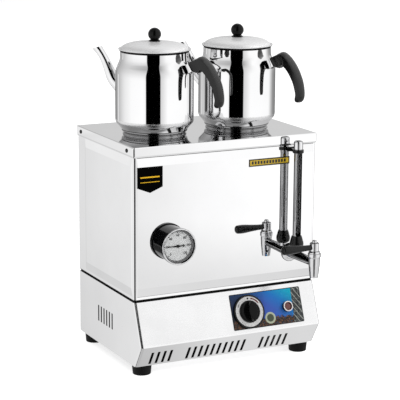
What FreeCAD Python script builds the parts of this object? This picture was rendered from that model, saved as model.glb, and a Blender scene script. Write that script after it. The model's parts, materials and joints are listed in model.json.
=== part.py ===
# Two-pot tea urn: a mains-heated water boiler with one level-gauge tap and two teapots on top.
# Casing frame: x to the right, y to the back, z up from the surface that the feet stand on.
# Every node is moved by ORIGIN_SHIFT when it is saved, so that the origin is the centre of the base.
import FreeCAD
import Part
import math
import os
from FreeCAD import Vector

# Casing
CASE_W = 456.0
CASE_D = 318.0
FOOT_H = 24.0
SEAM_Z = 170.6
SEAM_H = 5.2
SEAM_RECESS = 2.8
TOP_Z = 519.0
SHEET = 1.2
WALL_BEND_R = 5.5
BASE_BEND_R = 7.0
HALF_W = CASE_W / 2
HALF_D = CASE_D / 2

# Base: the front leans out to a knee and runs back in below it
KNEE_Z = 76.0
KNEE_OUT = 37.3
TOE_OUT = 4.5
VENT_W = 4.8
VENT_LEN = 36.5
VENT_DOWN = 37.2
VENT_PITCH = 15.5
VENT_GROUPS = ((-195.0, 4), (-104.0, 10), (82.0, 5))
SIDE_VENT_Z = 96.0
SIDE_VENT_Y = -36.0
SIDE_VENT_COUNT = 6

# Feet
FOOT_X = 201.0
FOOT_Y = (-139.0, 131.0)
FOOT_TOP_R = 22.5
FOOT_BOTTOM_R = 20.5

# Raised field of the casing walls
FIELD_RISE = 1.2
FIELD_LOW = (183.0, 202.0)
FIELD_HIGH = (495.0, 475.0)
FRONT_FIELD_X = (221.5, 219.0)
SIDE_FIELD_FRONT = (-150.0, -145.0)
SIDE_FIELD_BACK = (115.0, 110.0)
PANEL_Y = -HALF_D - FIELD_RISE

# Top cover and the two steam holes under the teapots, whose rims turn down
COVER_OVER = 2.0
COVER_BEND_R = 4.5
COVER_FLANGE = 23.0
COVER_LIP = 3.5
COVER_TUCK = 0.6
HOLE_X = 105.0
HOLE_Y = -8.0
HOLE_R = 64.0
HOLE_RIM = 4.0
COVER_SCREW_Y = (-124.9, 134.6)
COVER_SCREW_Z = 507.5

# Water tank
TANK_X = 196.0
TANK_Y = 128.0
TANK_Z = 190.0
TANK_CORNER = 15.0

# Heater: two nested hairpins
HEATER_R = 4.25
HEATER_Z = 220.0
HEATER_LEG_X = -150.0
HEATER_TURN_X = 110.0
HEATER_TURNS = (60.0, 30.0)
HEATER_BEND = 15.0

# Control panel on the leaning front
PANEL_X = (4.6, 187.2)
PANEL_S = (9.5, 91.3)
PLATE_T = 0.8
KNOB_X = 47.9
KNOB_S = 52.6
KNOB_R = 25.0
DISH_R = 39.0
DISH_TOP = 5.5
SHAFT_R = 3.0
LAMP_X = 147.5
LAMP_S = 52.3

# Dial thermometer
DIAL_X = -134.5
DIAL_Z = 296.7
DIAL_CASE_R = 39.0
DIAL_BEZEL_R = 41.3
DIAL_OUT = 34.0
PROBE_R = 5.0

# Tap and water-level gauge, which share one axis plane
TAP_X = 163.0
TAP_Z = 246.0
GAUGE_OUT = 31.0
VALVE_OUT = 111.0
PLUG_R = 7.95
VALVE_BORE_R = 8.0
STEM_R = 5.0
OUTLET_R = 6.5
LEVER_Z = 282.0
LEVER_LEN = 82.0
GUARD_R = 9.4
GAUGE_TOP = 510.0

# Teapots: axis place and the way each handle points, from the front towards the right
POT_Y = -12.0
POTS = (("left", -110.0, 34.0), ("right", 99.5, 31.0))
POT_R = 88.8
POT_WALL = 1.0
NECK_R = 77.5
RIM_Z = 186.5
LID_R = 81.6
DOME_RIM_R = 76.5
DOME_RIM_Z = 190.0
DOME_TOP_Z = 209.3
DOME_POWER = 2.45
KNOB_BALL_R = 14.7
KNOB_BALL_Z = 225.0

# The cable gland is the rearmost piece and the valve body the foremost one
GLAND_X = 150.0
GLAND_Z = 62.0
GLAND_OUT = 13.0
VALVE_TOP_R = 14.5
FRONT_Y = PANEL_Y - VALVE_OUT - VALVE_TOP_R
BACK_Y = HALF_D + GLAND_OUT
ORIGIN_SHIFT = Vector(0, -(FRONT_Y + BACK_Y) / 2, 0)

TOE_DROP = KNEE_Z - FOOT_H
TOE_RUN = KNEE_OUT - TOE_OUT

# Turned curves are made of cones within CURVE_SAG, and bent rods of mitred chords
CURVE_SAG = 0.1
BEND_POINTS = 6
MITRED = 1

X_AXIS = Vector(1, 0, 0)
Y_AXIS = Vector(0, 1, 0)
Z_AXIS = Vector(0, 0, 1)


# Helpers

def save(node, shape):
    """Write one node in the part's own frame."""
    moved = shape.copy()
    moved.translate(ORIGIN_SHIFT)
    moved.exportStep("parts/" + node + ".step")


def box(low, high):
    size = Vector(*high) - Vector(*low)
    return Part.makeBox(size.x, size.y, size.z, Vector(*low))


def rod(radius, start, end):
    """Cylinder between two points."""
    run = Vector(*end) - Vector(*start)
    return Part.makeCylinder(radius, run.Length, Vector(*start), run)


def upright(radius, low, high):
    return Part.makeCylinder(radius, high - low, Vector(0, 0, low))


def ring(outer, inner, low, high):
    return upright(outer, low, high).cut(upright(inner, low, high))


def hexagon(across_flats, bore, low, high):
    """Hexagonal nut about the z axis."""
    corner = across_flats / math.sqrt(3)
    turns = [math.radians(60 * i) for i in range(7)]
    wire = Part.makePolygon([Vector(corner * math.cos(a), corner * math.sin(a), low) for a in turns])
    nut = Part.Face(wire).extrude(Vector(0, 0, high - low))
    return nut.cut(upright(bore, low, high))


def outline_edges(start, *steps):
    """Closed run in the XZ plane. A step is a point, (through, end) for an arc, or a list for a curve."""
    def at(point):
        return Vector(point[0], 0, point[1])
    edges = []
    here = at(start)
    for step in steps + (start,):
        if isinstance(step, list):
            curve = Part.BSplineCurve()
            curve.interpolate([here] + [at(p) for p in step])
            edges.append(curve.toShape())
            here = at(step[-1])
        elif isinstance(step[0], tuple):
            edges.append(Part.Arc(here, at(step[0]), at(step[1])).toShape())
            here = at(step[1])
        elif here.distanceToPoint(at(step)) > 1e-6:
            edges.append(Part.makeLine(here, at(step)))
            here = at(step)
    return edges


def outline(start, *steps):
    return Part.Wire(outline_edges(start, *steps))


def lathe(start, *steps):
    """Solid turned about the z axis from a closed half outline, with its curves as short cones."""
    points = []
    for edge in outline_edges(start, *steps):
        if edge.Curve.TypeId == "Part::GeomLine":
            points.append(edge.Vertexes[0].Point)
        else:
            points += edge.discretize(Deflection=CURVE_SAG)[:-1]
    face = Part.Face(Part.makePolygon(points + points[:1]))
    return face.revolve(Vector(), Z_AXIS, 360)


def slab(half, start, *steps):
    """Solid cut from a plate of thickness 2 * half that lies in the XZ plane."""
    face = Part.Face(outline(start, *steps))
    face.translate(Vector(0, -half, 0))
    return face.extrude(Vector(0, 2 * half, 0))


def rounded_rectangle(half_x, half_y, radius, z):
    """Closed wire in a level plane, centred on the z axis."""
    edges = []
    for i, (sx, sy) in enumerate(((1, 1), (-1, 1), (-1, -1), (1, -1))):
        centre = Vector(sx * (half_x - radius), sy * (half_y - radius), z)
        edges.append(Part.makeCircle(radius, centre, Z_AXIS, 90 * i, 90 * i + 90))
    corners = []
    for i in range(4):
        corners.append(edges[i])
        end = edges[i].Vertexes[-1].Point
        start = edges[(i + 1) % 4].Vertexes[0].Point
        corners.append(Part.makeLine(end, start))
    return Part.Wire(corners)


def rounded_prism(half_x, half_y, radius, low, high):
    face = Part.Face(rounded_rectangle(half_x, half_y, radius, low))
    return face.extrude(Vector(0, 0, high - low))


def ease(solid, radius, choose):
    """Round the edges whose middle point passes the test."""
    edges = []
    for edge in solid.Edges:
        middle = edge.valueAt((edge.FirstParameter + edge.LastParameter) / 2)
        if choose(middle):
            edges.append(edge)
    return solid.makeFillet(radius, edges)


def smooth_rows(rows, per_span):
    """Rows of numbers on a smooth run through the given rows, with per_span steps between each pair."""
    out = []
    for i in range(len(rows) - 1):
        before, here = rows[max(i - 1, 0)], rows[i]
        after, beyond = rows[i + 1], rows[min(i + 2, len(rows) - 1)]
        for k in range(per_span):
            t = k / per_span
            row = []
            for a, b, c, d in zip(before, here, after, beyond):
                square = (2 * a - 5 * b + 4 * c - d) * t ** 2
                cube = (3 * b - a - 3 * c + d) * t ** 3
                row.append(0.5 * (2 * b + (c - a) * t + square + cube))
            out.append(row)
    return out + [list(rows[-1])]


def bent_rod(points, radius, bend):
    """Round bar along straight runs whose corners are bends of a few mitred chords."""
    path = [Vector(*points[0])]
    corners = [Vector(*p) for p in points]
    for before, corner, after in zip(corners, corners[1:], corners[2:]):
        into = (corner - before).normalize()
        out = (after - corner).normalize()
        half_turn = into.getAngle(out) / 2
        setback = bend * math.tan(half_turn)
        start = corner - into * setback
        end = corner + out * setback
        inward = (out - into).normalize()
        sagitta = bend / math.cos(half_turn) - bend
        path += Part.Arc(start, corner + inward * sagitta, end).toShape().discretize(BEND_POINTS)
    spine = Part.makePolygon(path + corners[-1:])
    section = Part.Wire(Part.makeCircle(radius, corners[0], corners[1] - corners[0]))
    return spine.makePipeShell([section], True, True, MITRED)


def placed(shape, origin, x_dir, z_dir):
    """Move a shape from its own frame to a frame given by its origin and two of its axes."""
    turn = FreeCAD.Rotation(x_dir, z_dir.cross(x_dir), z_dir, "ZXY")
    moved = shape.copy()
    moved.Placement = FreeCAD.Placement(origin, turn).multiply(moved.Placement)
    return moved


def on_front(shape, x, z):
    """Local z points out of the upright front wall, local y points up."""
    return placed(shape, Vector(x, PANEL_Y, z), X_AXIS, Vector(0, -1, 0))


def on_slope(shape, x, down):
    """Local z points out of the leaning control panel, local y points up its slope."""
    fall = Vector(0, -KNEE_OUT, KNEE_Z - SEAM_Z).normalize()
    origin = Vector(x, -HALF_D, SEAM_Z) + fall * down
    return placed(shape, origin, X_AXIS, X_AXIS.cross(fall * -1))


def on_toe(shape, x, down):
    """Local z points out of the face below the knee, local y points up its slope."""
    fall = Vector(0, TOE_RUN, -TOE_DROP).normalize()
    origin = Vector(x, -HALF_D - KNEE_OUT, KNEE_Z) + fall * down
    return placed(shape, origin, X_AXIS, X_AXIS.cross(fall * -1))


def slot_cutter(length, width, depth):
    """Round-ended cutter whose length lies along local y."""
    half = (length - width) / 2
    body = box((-width / 2, -half, -depth), (width / 2, half, depth))
    for end in (-half, half):
        cap = Part.makeCylinder(width / 2, 2 * depth, Vector(0, end, -depth))
        body = body.fuse(cap)
    return body.removeSplitter()


# Base

def base_prism(inset):
    """The base's outer form, or its inside when inset by the sheet's thickness."""
    points = [(HALF_D, FOOT_H), (HALF_D, SEAM_Z), (-HALF_D, SEAM_Z),
              (-HALF_D - KNEE_OUT, KNEE_Z), (-HALF_D - TOE_OUT, FOOT_H), (HALF_D, FOOT_H)]
    wire = Part.makePolygon([Vector(0, y, z) for y, z in points])
    if inset:
        wire = wire.makeOffset2D(-inset)
    half = HALF_W - inset
    face = Part.Face(wire)
    face.translate(Vector(-half, 0, 0))
    solid = face.extrude(Vector(2 * half, 0, 0))
    front_bend = -HALF_D - TOE_OUT / 2

    def is_bend(p):
        upright_run = FOOT_H + 10 < p.z < SEAM_Z - 10
        return abs(p.x) > half - 0.01 and upright_run and (p.y < front_bend or p.y > HALF_D - inset - 0.01)
    return ease(solid, BASE_BEND_R - inset, is_bend)


def base_shell():
    shell = base_prism(0).cut(base_prism(SHEET))
    flange_x = 47.0
    flange_y = 15.0
    shell = shell.cut(box((flange_x - HALF_W, flange_y - HALF_D, FOOT_H - 1),
                          (HALF_W - flange_x, HALF_D - flange_y, FOOT_H + 2 * SHEET)))
    ledge = 20.0
    shell = shell.cut(box((ledge - HALF_W, ledge - HALF_D, SEAM_Z - 2 * SHEET),
                          (HALF_W - ledge, HALF_D - ledge, SEAM_Z + 1)))
    cutters = []
    slot = slot_cutter(VENT_LEN, VENT_W, 3 * SHEET)
    for first, count in VENT_GROUPS:
        for i in range(count):
            cutters.append(on_toe(slot, first + i * VENT_PITCH, VENT_DOWN))
    for side in (-1, 1):
        for i in range(SIDE_VENT_COUNT):
            place = Vector(side * HALF_W, SIDE_VENT_Y + i * VENT_PITCH, SIDE_VENT_Z)
            cutters.append(placed(slot, place, Vector(0, side, 0), Vector(side, 0, 0)))
    cutters.append(on_slope(upright(5.0, -5, 5), KNOB_X, KNOB_S))
    cutters.append(on_slope(upright(6.0, -5, 5), LAMP_X, LAMP_S))
    cutters.append(rod(8.1, (GLAND_X, HALF_D - 5, GLAND_Z), (GLAND_X, HALF_D + 5, GLAND_Z)))
    for x, y in foot_places():
        cutters.append(rod(2.6, (x, y, FOOT_H - 1), (x, y, FOOT_H + 5)))
    return shell.cut(cutters)


def foot_places():
    return [(side * FOOT_X, y) for side in (-1, 1) for y in FOOT_Y]


def bottom_pan():
    """Tray that closes the base from inside, lying on its bottom flange."""
    low = FOOT_H + SHEET
    wall = 1.0
    rim = 8.0
    front, back = -HALF_D - 1.5, HALF_D - 4
    half = HALF_W - 4
    tray = box((-half, front, low), (half, back, low + rim))
    tray = tray.cut(box((wall - half, front + wall, low + wall), (half - wall, back - wall, low + rim)))
    slot = slot_cutter(60.0, 5.0, 3.0)
    cutters = [rod(2.6, (x, y, low - 1), (x, y, low + 2)) for x, y in foot_places()]
    for row in (-60, 50):
        for i in range(6):
            cutters.append(placed(slot, Vector(-50 + 20 * i, row, low), X_AXIS, Z_AXIS))
    return tray.cut(cutters)


def feet():
    edge = 1.5
    foot = lathe((7.0, 0), (FOOT_BOTTOM_R - edge, 0), ((FOOT_BOTTOM_R - edge * 0.3, edge * 0.3),
                 (FOOT_BOTTOM_R, edge)), (FOOT_TOP_R, FOOT_H), (2.6, FOOT_H), (2.6, 10), (7.0, 10))
    return spread(foot, foot_places())


def foot_screws():
    nut_z = FOOT_H + SHEET + 1
    screw = upright(5.0, 7, 10).fuse(upright(2.5, 10, nut_z + 7)).removeSplitter()
    nut = hexagon(8.0, 2.5, nut_z, nut_z + 4)
    return spread(Part.makeCompound([screw, nut]), foot_places())


def spread(shape, places):
    """Copies of one shape at several level places, as a group."""
    copies = []
    for x, y in places:
        copy = shape.copy()
        copy.translate(Vector(x, y, 0))
        copies.append(copy)
    return Part.makeCompound(copies)


def seam_gasket():
    low, high = SEAM_Z, SEAM_Z + SEAM_H
    radius = BASE_BEND_R - SEAM_RECESS
    outer = rounded_prism(HALF_W - SEAM_RECESS, HALF_D - SEAM_RECESS, radius, low, high)
    return outer.cut(rounded_prism(HALF_W - 19, HALF_D - 19, radius, low, high))


# Upper casing

def frustum(axis, side, wall, outer, inner):
    """Low pad with sloping edges on an upright wall: outer and inner are (low, high) ranges of two axes."""
    def corners(ranges, depth):
        (a0, a1), (z0, z1) = ranges
        flat = [(a0, z0), (a1, z0), (a1, z1), (a0, z1)]
        if axis == "y":
            return [Vector(a, side * depth, z) for a, z in flat]
        return [Vector(side * depth, a, z) for a, z in flat]
    low = corners(outer, wall)
    high = corners(inner, wall + FIELD_RISE)
    faces = [Part.Face(Part.makePolygon(low + low[:1])), Part.Face(Part.makePolygon(high + high[:1]))]
    for i in range(4):
        j = (i + 1) % 4
        faces.append(Part.Face(Part.makePolygon([low[i], low[j], high[j], high[i], low[i]])))
    solid = Part.Solid(Part.Shell(faces))
    solid.fix(1e-6, 1e-6, 1e-6)
    return solid


def raised_fields(inset):
    """The raised field of the front wall and of both side walls."""
    heights = ((FIELD_LOW[0], FIELD_HIGH[0]), (FIELD_LOW[1], FIELD_HIGH[1]))
    (x0, x1), (f0, f1), (b0, b1) = FRONT_FIELD_X, SIDE_FIELD_FRONT, SIDE_FIELD_BACK
    front = frustum("y", -1, HALF_D - inset, ((-x0, x0), heights[0]), ((-x1, x1), heights[1]))
    fields = [front]
    for side in (-1, 1):
        fields.append(frustum("x", side, HALF_W - inset, ((f0, b0), heights[0]), ((f1, b1), heights[1])))
    return fields


def casing_wrapper():
    low = SEAM_Z + SEAM_H
    high = TOP_Z - 2 * SHEET
    bend = WALL_BEND_R
    shell = rounded_prism(HALF_W, HALF_D, bend, low, high)
    shell = shell.cut(rounded_prism(HALF_W - SHEET, HALF_D - SHEET, bend - SHEET, low + SHEET, high - SHEET))
    bottom = 16.0
    top = 12.0
    cutters = [rounded_prism(HALF_W - bottom, HALF_D - bottom, bend, low - 1, low + 5),
               rounded_prism(HALF_W - top, HALF_D - top, bend, high - 5, high + 1)]
    cutters += cover_screw_holes()
    cutters.append(on_front(upright(PROBE_R + 0.2, -10, 5), DIAL_X, DIAL_Z))
    cutters.append(on_front(upright(9.0, -10, 5), TAP_X, TAP_Z))
    return shell.fuse(raised_fields(0)).cut(raised_fields(SHEET)).cut(cutters)


def cover_screw_holes():
    reach = HALF_W + 10
    return [rod(2.1, (-reach, y, COVER_SCREW_Z), (reach, y, COVER_SCREW_Z)) for y in COVER_SCREW_Y]


def inner_tank():
    """Open water tank hung by its rim from the casing."""
    rim = TOP_Z - 2 * SHEET
    outer = ease(rounded_prism(TANK_X, TANK_Y, TANK_CORNER, TANK_Z, rim), 8.0, lambda p: p.z < TANK_Z + 0.01)
    hollow = rounded_prism(TANK_X - SHEET, TANK_Y - SHEET, TANK_CORNER - SHEET, TANK_Z + SHEET, rim + 5)
    hollow = ease(hollow, 8.0 - SHEET, lambda p: p.z < TANK_Z + SHEET + 0.01)
    flange = rounded_prism(HALF_W - 2.5, HALF_D - 2.5, WALL_BEND_R, rim, rim + SHEET)
    pocket = rod(4.2, (-60, -90, TANK_Z - 3.4), (10, -90, TANK_Z - 3.4))
    tank = outer.fuse([flange, pocket]).cut(hollow)
    cutters = [rod(3.1, (-61, -90, TANK_Z - 3.4), (11, -90, TANK_Z - 3.4))]
    cutters.append(on_front(upright(PROBE_R + 0.1, -60, -20), DIAL_X, DIAL_Z))
    cutters.append(on_front(upright(8.1, -60, -20), TAP_X, TAP_Z))
    for x, y in heater_legs():
        cutters.append(rod(HEATER_R + 0.1, (x, y, TANK_Z - 5), (x, y, TANK_Z + 5)))
    return tank.cut(cutters)


def top_cover():
    """Lid tray with a flange that tapers in at its lower edge and two holes with turned-down rims."""
    low = TOP_Z - COVER_FLANGE
    step = low + COVER_LIP
    half_x, half_y = HALF_W + COVER_OVER, HALF_D + COVER_OVER

    def form(inset, top):
        bend = COVER_BEND_R - inset
        body = rounded_prism(half_x - inset, half_y - inset, bend, step, top)
        upper = rounded_rectangle(half_x - inset, half_y - inset, bend, step)
        lower = rounded_rectangle(half_x - inset - COVER_TUCK, half_y - inset - COVER_TUCK, bend, low)
        return body, Part.makeLoft([lower, upper], True, True)
    body, lip = form(0, TOP_Z)
    body = ease(body, 2.0, lambda p: p.z > TOP_Z - 0.01)
    cover = body.fuse(lip)
    for piece in form(SHEET, TOP_Z - SHEET):
        cover = cover.cut(piece)
    for side in (-1, 1):
        rim = upright(HOLE_R, TOP_Z - SHEET - HOLE_RIM, TOP_Z)
        hole = upright(HOLE_R - SHEET, TOP_Z - SHEET - 2 * HOLE_RIM, TOP_Z + SHEET)
        place = Vector(side * HOLE_X, HOLE_Y, 0)
        rim.translate(place)
        hole.translate(place)
        cover = cover.fuse(rim).cut(hole)
    return cover.cut(cover_screw_holes()).removeSplitter()


def cover_screws():
    """Domed screws through the cover's flange and the casing wall, two on each side."""
    face = HALF_W + COVER_OVER
    head = lathe((0, 0), (4.75, 0), (4.6, 0.9), ((3.0, 2.2), (0.8, 2.6)), (0, 2.6))
    screw = head.fuse(upright(2.0, -12, 0)).removeSplitter()
    screws = []
    for side in (-1, 1):
        for y in COVER_SCREW_Y:
            place = Vector(side * face, y, COVER_SCREW_Z)
            screws.append(placed(screw, place, Vector(0, side, 0), Vector(side, 0, 0)))
    return Part.makeCompound(screws)


# Heating and controls

def heater_legs():
    return [(HEATER_LEG_X + i * 30, side * r) for i, r in enumerate(HEATER_TURNS) for side in (-1, 1)]


def heating_element():
    """Two nested hairpins of sheathed tube, with their legs down through the tank's floor."""
    low = TANK_Z - 22
    loops = []
    for i, turn in enumerate(HEATER_TURNS):
        leg = HEATER_LEG_X + i * 30
        knee_z = HEATER_Z - HEATER_BEND
        run = leg + HEATER_BEND
        diagonal = HEATER_BEND * math.sqrt(0.5)
        near = [Vector(leg, -turn, low), Vector(leg, -turn, knee_z),
                Vector(run - diagonal, -turn, knee_z + diagonal), Vector(run, -turn, HEATER_Z),
                Vector(HEATER_TURN_X, -turn, HEATER_Z)]
        far = [Vector(p.x, turn, p.z) for p in reversed(near)]
        down = Part.Arc(near[1], near[2], near[3]).toShape().discretize(BEND_POINTS)
        across = Part.Arc(near[4], Vector(HEATER_TURN_X + turn, 0, HEATER_Z), far[0]).toShape()
        up = Part.Arc(far[1], far[2], far[3]).toShape().discretize(BEND_POINTS)
        path = Part.makePolygon(near[:1] + down + across.discretize(4 * BEND_POINTS) + up + far[4:])
        section = Part.Wire(Part.makeCircle(HEATER_R, near[0], Z_AXIS))
        loops.append(path.makePipeShell([section], True, True, MITRED))
    return Part.makeCompound(loops)


def heater_nuts():
    """Clamping nut under the tank's floor and collar above it on every heater leg."""
    nut = hexagon(16.0, HEATER_R, TANK_Z - 6, TANK_Z)
    collar = ring(8.0, HEATER_R, TANK_Z + SHEET, TANK_Z + SHEET + 4)
    return spread(Part.makeCompound([nut, collar]), heater_legs())


def thermostat_body():
    """Capillary thermostat on the inner face of the control panel."""
    half_x, half_y, depth = 20.0, 16.0, 24.0
    body = box((-half_x, -half_y, -SHEET - depth), (half_x, half_y, -SHEET))
    body = ease(body, 3.0, lambda p: abs(p.x) > half_x - 0.01 and abs(p.y) > half_y - 0.01)
    for x in (-12.0, 0.0, 12.0):
        body = body.fuse(box((x - 3, -10.4, -SHEET - depth - 8), (x + 3, -9.6, -SHEET - depth)))
    body = body.cut(upright(SHAFT_R + 0.05, -18.5, 0))
    return on_slope(body.removeSplitter(), KNOB_X, KNOB_S)


def thermostat_capillary():
    """Sensing bulb in the pocket under the tank, and its tube down to the thermostat."""
    z = TANK_Z - 3.4
    bulb = rod(3.0, (-58, -90, z), (12, -90, z))
    fall = Vector(0, -KNEE_OUT, KNEE_Z - SEAM_Z).normalize()
    out = X_AXIS.cross(fall * -1)
    back = Vector(KNOB_X, -HALF_D, SEAM_Z) + fall * (KNOB_S - 6) - out * (SHEET + 24)
    leave = back - out * 25
    points = [(11, -90, z), (leave.x, -90, z), (leave.x, leave.y, leave.z), (back.x, back.y, back.z)]
    return bulb.fuse(bent_rod(points, 1.0, 12.0)).removeSplitter()


def terminal_block():
    """Four-way screw terminal on the floor pan, near the cable gland."""
    low = FOOT_H + SHEET + 1
    block = box((GLAND_X - 40, 86, low), (GLAND_X + 24, 108, low + 16))
    ways = 4
    for i in range(ways):
        x = GLAND_X - 32 + 16 * i
        block = block.cut(Part.makeCylinder(3.0, 8, Vector(x, 92, low + 10)))
        block = block.cut(Part.makeCylinder(3.0, 8, Vector(x, 102, low + 10)))
    for i in range(ways - 1):
        x = GLAND_X - 24 + 16 * i
        block = block.fuse(box((x - 0.8, 86, low + 16), (x + 0.8, 108, low + 20)))
    return block.removeSplitter()


def cable_gland():
    """Gland in the back wall, with no cord in it."""
    shape = lathe((4.6, -12), (8.0, -12), (8.0, 0), (12.0, 0), (12.0, 4), (10.0, 4.5), (8.5, GLAND_OUT),
                  (4.6, GLAND_OUT))
    return placed(shape, Vector(GLAND_X, HALF_D, GLAND_Z), X_AXIS, Y_AXIS)


def gland_nut():
    nut = hexagon(22.0, 8.0, -SHEET - 5, -SHEET)
    return placed(nut, Vector(GLAND_X, HALF_D, GLAND_Z), X_AXIS, Y_AXIS)


def control_panel_plate():
    half_x = (PANEL_X[1] - PANEL_X[0]) / 2
    half_s = (PANEL_S[1] - PANEL_S[0]) / 2
    middle_x = PANEL_X[0] + half_x
    middle_s = PANEL_S[0] + half_s
    plate = on_slope(rounded_prism(half_x, half_s, 3.0, 0, PLATE_T), middle_x, middle_s)
    shaft = on_slope(upright(5.0, -1, 2), KNOB_X, KNOB_S)
    lamp = on_slope(upright(6.0, -1, 2), LAMP_X, LAMP_S)
    return plate.cut([shaft, lamp])


def knob_scale_ring():
    """Dish that carries the scale round the knob, with a raised outer rim."""
    shape = lathe((6, PLATE_T), (DISH_R - 0.8, PLATE_T), (DISH_R, 1.8), (DISH_R - 0.4, DISH_TOP - 0.3),
                  (DISH_R - 1.2, DISH_TOP + 0.3), (DISH_R - 2.5, DISH_TOP + 0.3), (DISH_R - 2.8, DISH_TOP),
                  (6, DISH_TOP))
    return on_slope(shape, KNOB_X, KNOB_S)


def thermostat_knob():
    """Skirted knob with a lens-shaped grip that stands along the slope at rest."""
    low, skirt, top = DISH_TOP + 0.4, 11.0, 26.0
    skirt_form = lathe((0, low), (KNOB_R, low), (KNOB_R - 0.3, skirt - 1.4), ((KNOB_R - 0.9, skirt - 0.4),
                       (KNOB_R - 2.2, skirt)), (0, skirt))
    side_r, half_wide, draft = 29.7, 11.5, 1.4
    grip = upright(KNOB_R - 1.5, skirt - 1, top)
    for side in (-1, 1):
        centre = Vector(side * (side_r - half_wide), 0, skirt - 1)
        grip = grip.common(Part.makeCone(side_r, side_r - draft, top - skirt + 1, centre))
    grip = ease(grip, 1.2, lambda p: p.z > top - 0.01)
    knob = skirt_form.fuse(grip).removeSplitter()
    return on_slope(knob.cut(upright(SHAFT_R, 0, 18)), KNOB_X, KNOB_S)


def thermostat_shaft():
    return on_slope(upright(SHAFT_R, -18, 18), KNOB_X, KNOB_S)


def signal_lamp_body():
    """Threaded barrel through the panel, with a raised ring round the lens."""
    shape = lathe((0, -26), (5.9, -26), (5.9, PLATE_T), (12, PLATE_T), (12, 8.6), (11.5, 9.3), (9.7, 9.3),
                  (9.5, 8.9), (9.5, 2.6), (0, 2.6))
    return on_slope(shape, LAMP_X, LAMP_S)


def signal_lamp_lens():
    shape = lathe((0, 2.6), (9.4, 2.6), (9.4, 5.8), ((6.0, 6.8), (0.8, 7.1)), (0, 7.1))
    return on_slope(shape, LAMP_X, LAMP_S)


# Thermometer, built outward from the front wall

def thermometer_case():
    """Straight drum, open at the front."""
    shape = lathe((PROBE_R + 0.05, 0), (DIAL_CASE_R, 0), (DIAL_CASE_R, 29), (37.2, 29),
                  (37.2, 23), (35, 23), (35, 2), (PROBE_R + 0.05, 2))
    return on_front(shape, DIAL_X, DIAL_Z)


def thermometer_bezel():
    """Turned ring that holds the glass on the drum."""
    bore = DIAL_CASE_R + 0.02
    shape = lathe((bore, 24), (DIAL_BEZEL_R - 0.5, 24), (DIAL_BEZEL_R, 24.5), (DIAL_BEZEL_R, 31.6),
                  ((DIAL_BEZEL_R - 0.6, 33.4), (DIAL_BEZEL_R - 2.0, DIAL_OUT)), (38.4, DIAL_OUT - 0.2),
                  (37.4, 31), (bore, 31))
    return on_front(shape, DIAL_X, DIAL_Z)


def thermometer_dial():
    return on_front(ring(37.0, 1.05, 23, 24.2), DIAL_X, DIAL_Z)


def thermometer_glass():
    return on_front(upright(38.6, 29, 31), DIAL_X, DIAL_Z)


def thermometer_pointer():
    """Pointer on its spindle, aimed at nine o'clock, with a counterweight behind the hub."""
    hub = upright(3.4, 24.7, 27.4)
    spindle = upright(1.0, 19, 24.7)
    blade = Part.makePolygon([Vector(-30, 0, 25.4), Vector(-6, -1.5, 25.4), Vector(11, -1.1, 25.4),
                              Vector(14, -3, 25.4), Vector(17, 0, 25.4), Vector(14, 3, 25.4),
                              Vector(11, 1.1, 25.4), Vector(-6, 1.5, 25.4), Vector(-30, 0, 25.4)])
    arm = Part.Face(blade).extrude(Vector(0, 0, 0.9))
    return on_front(hub.fuse([spindle, arm]).removeSplitter(), DIAL_X, DIAL_Z)


def thermometer_probe():
    """Sensing stem from the drum's back plate into the water."""
    stem = lathe((0, 4), (9, 4), (9, 2), (PROBE_R, 2), (PROBE_R, -58),
                 ((3.8, -61.6), (1.0, -63)), (0, -63))
    return on_front(stem, DIAL_X, DIAL_Z)


def probe_nuts():
    """Collar outside and nut inside the tank's front wall."""
    wall = PANEL_Y + TANK_Y
    nut = hexagon(17.0, PROBE_R, wall - SHEET - 6, wall - SHEET)
    collar = ring(9.0, PROBE_R, wall, wall + 5)
    return on_front(Part.makeCompound([nut, collar]), DIAL_X, DIAL_Z)


# Tap

def tap_escutcheon():
    shape = lathe((8.05, 0), (21.5, 0), (21.5, 1.6), ((17.0, 3.4), (13.0, 6.0)), (8.05, 6.0))
    return on_front(shape, TAP_X, TAP_Z)


def tap_body():
    """Tail, tapering arm, gauge branch and valve housing in one casting, bored through."""
    wall = PANEL_Y + TANK_Y
    tail = upright(8.0, wall - 14, 6)
    arm = Part.makeCone(11.5, 8.6, VALVE_OUT - 6)
    arm.translate(Vector(0, 0, 6))
    casting = on_front(tail.fuse(arm), TAP_X, TAP_Z)
    gauge_y = PANEL_Y - GAUGE_OUT
    valve_y = PANEL_Y - VALVE_OUT
    branch = Part.makeCylinder(7.5, 22, Vector(TAP_X, gauge_y, TAP_Z))
    housing = lathe((0, 212), (9.2, 212), (9.8, 216), (12.4, 240), (13.0, 258), (VALVE_TOP_R, 261),
                    (VALVE_TOP_R, 268), (0, 268))
    housing.translate(Vector(TAP_X, valve_y, 0))
    casting = casting.fuse([branch, housing]).removeSplitter()
    bores = [on_front(upright(5.0, wall - 15, VALVE_OUT), TAP_X, TAP_Z),
             rod(3.5, (TAP_X, gauge_y, TAP_Z), (TAP_X, gauge_y, 270)),
             rod(VALVE_BORE_R, (TAP_X, valve_y, 238), (TAP_X, valve_y, 270)),
             rod(OUTLET_R, (TAP_X, valve_y, 200), (TAP_X, valve_y, 240))]
    return casting.cut(bores)


def tap_tail_nut():
    """Nut inside the tank and collar outside it."""
    wall = PANEL_Y + TANK_Y
    nut = hexagon(24.0, 8.0, wall - SHEET - 7, wall - SHEET)
    collar = ring(12.0, 8.0, wall, wall + 5)
    return on_front(Part.makeCompound([nut, collar]), TAP_X, TAP_Z)


def at_valve(shape):
    moved = shape.copy()
    moved.translate(Vector(TAP_X, PANEL_Y - VALVE_OUT, 0))
    return moved


def tap_bonnet():
    shape = lathe((STEM_R + 0.05, 268), (13.0, 268), (13.0, 271), (11.5, 273), (STEM_R + 0.05, 273))
    return at_valve(shape)


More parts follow.
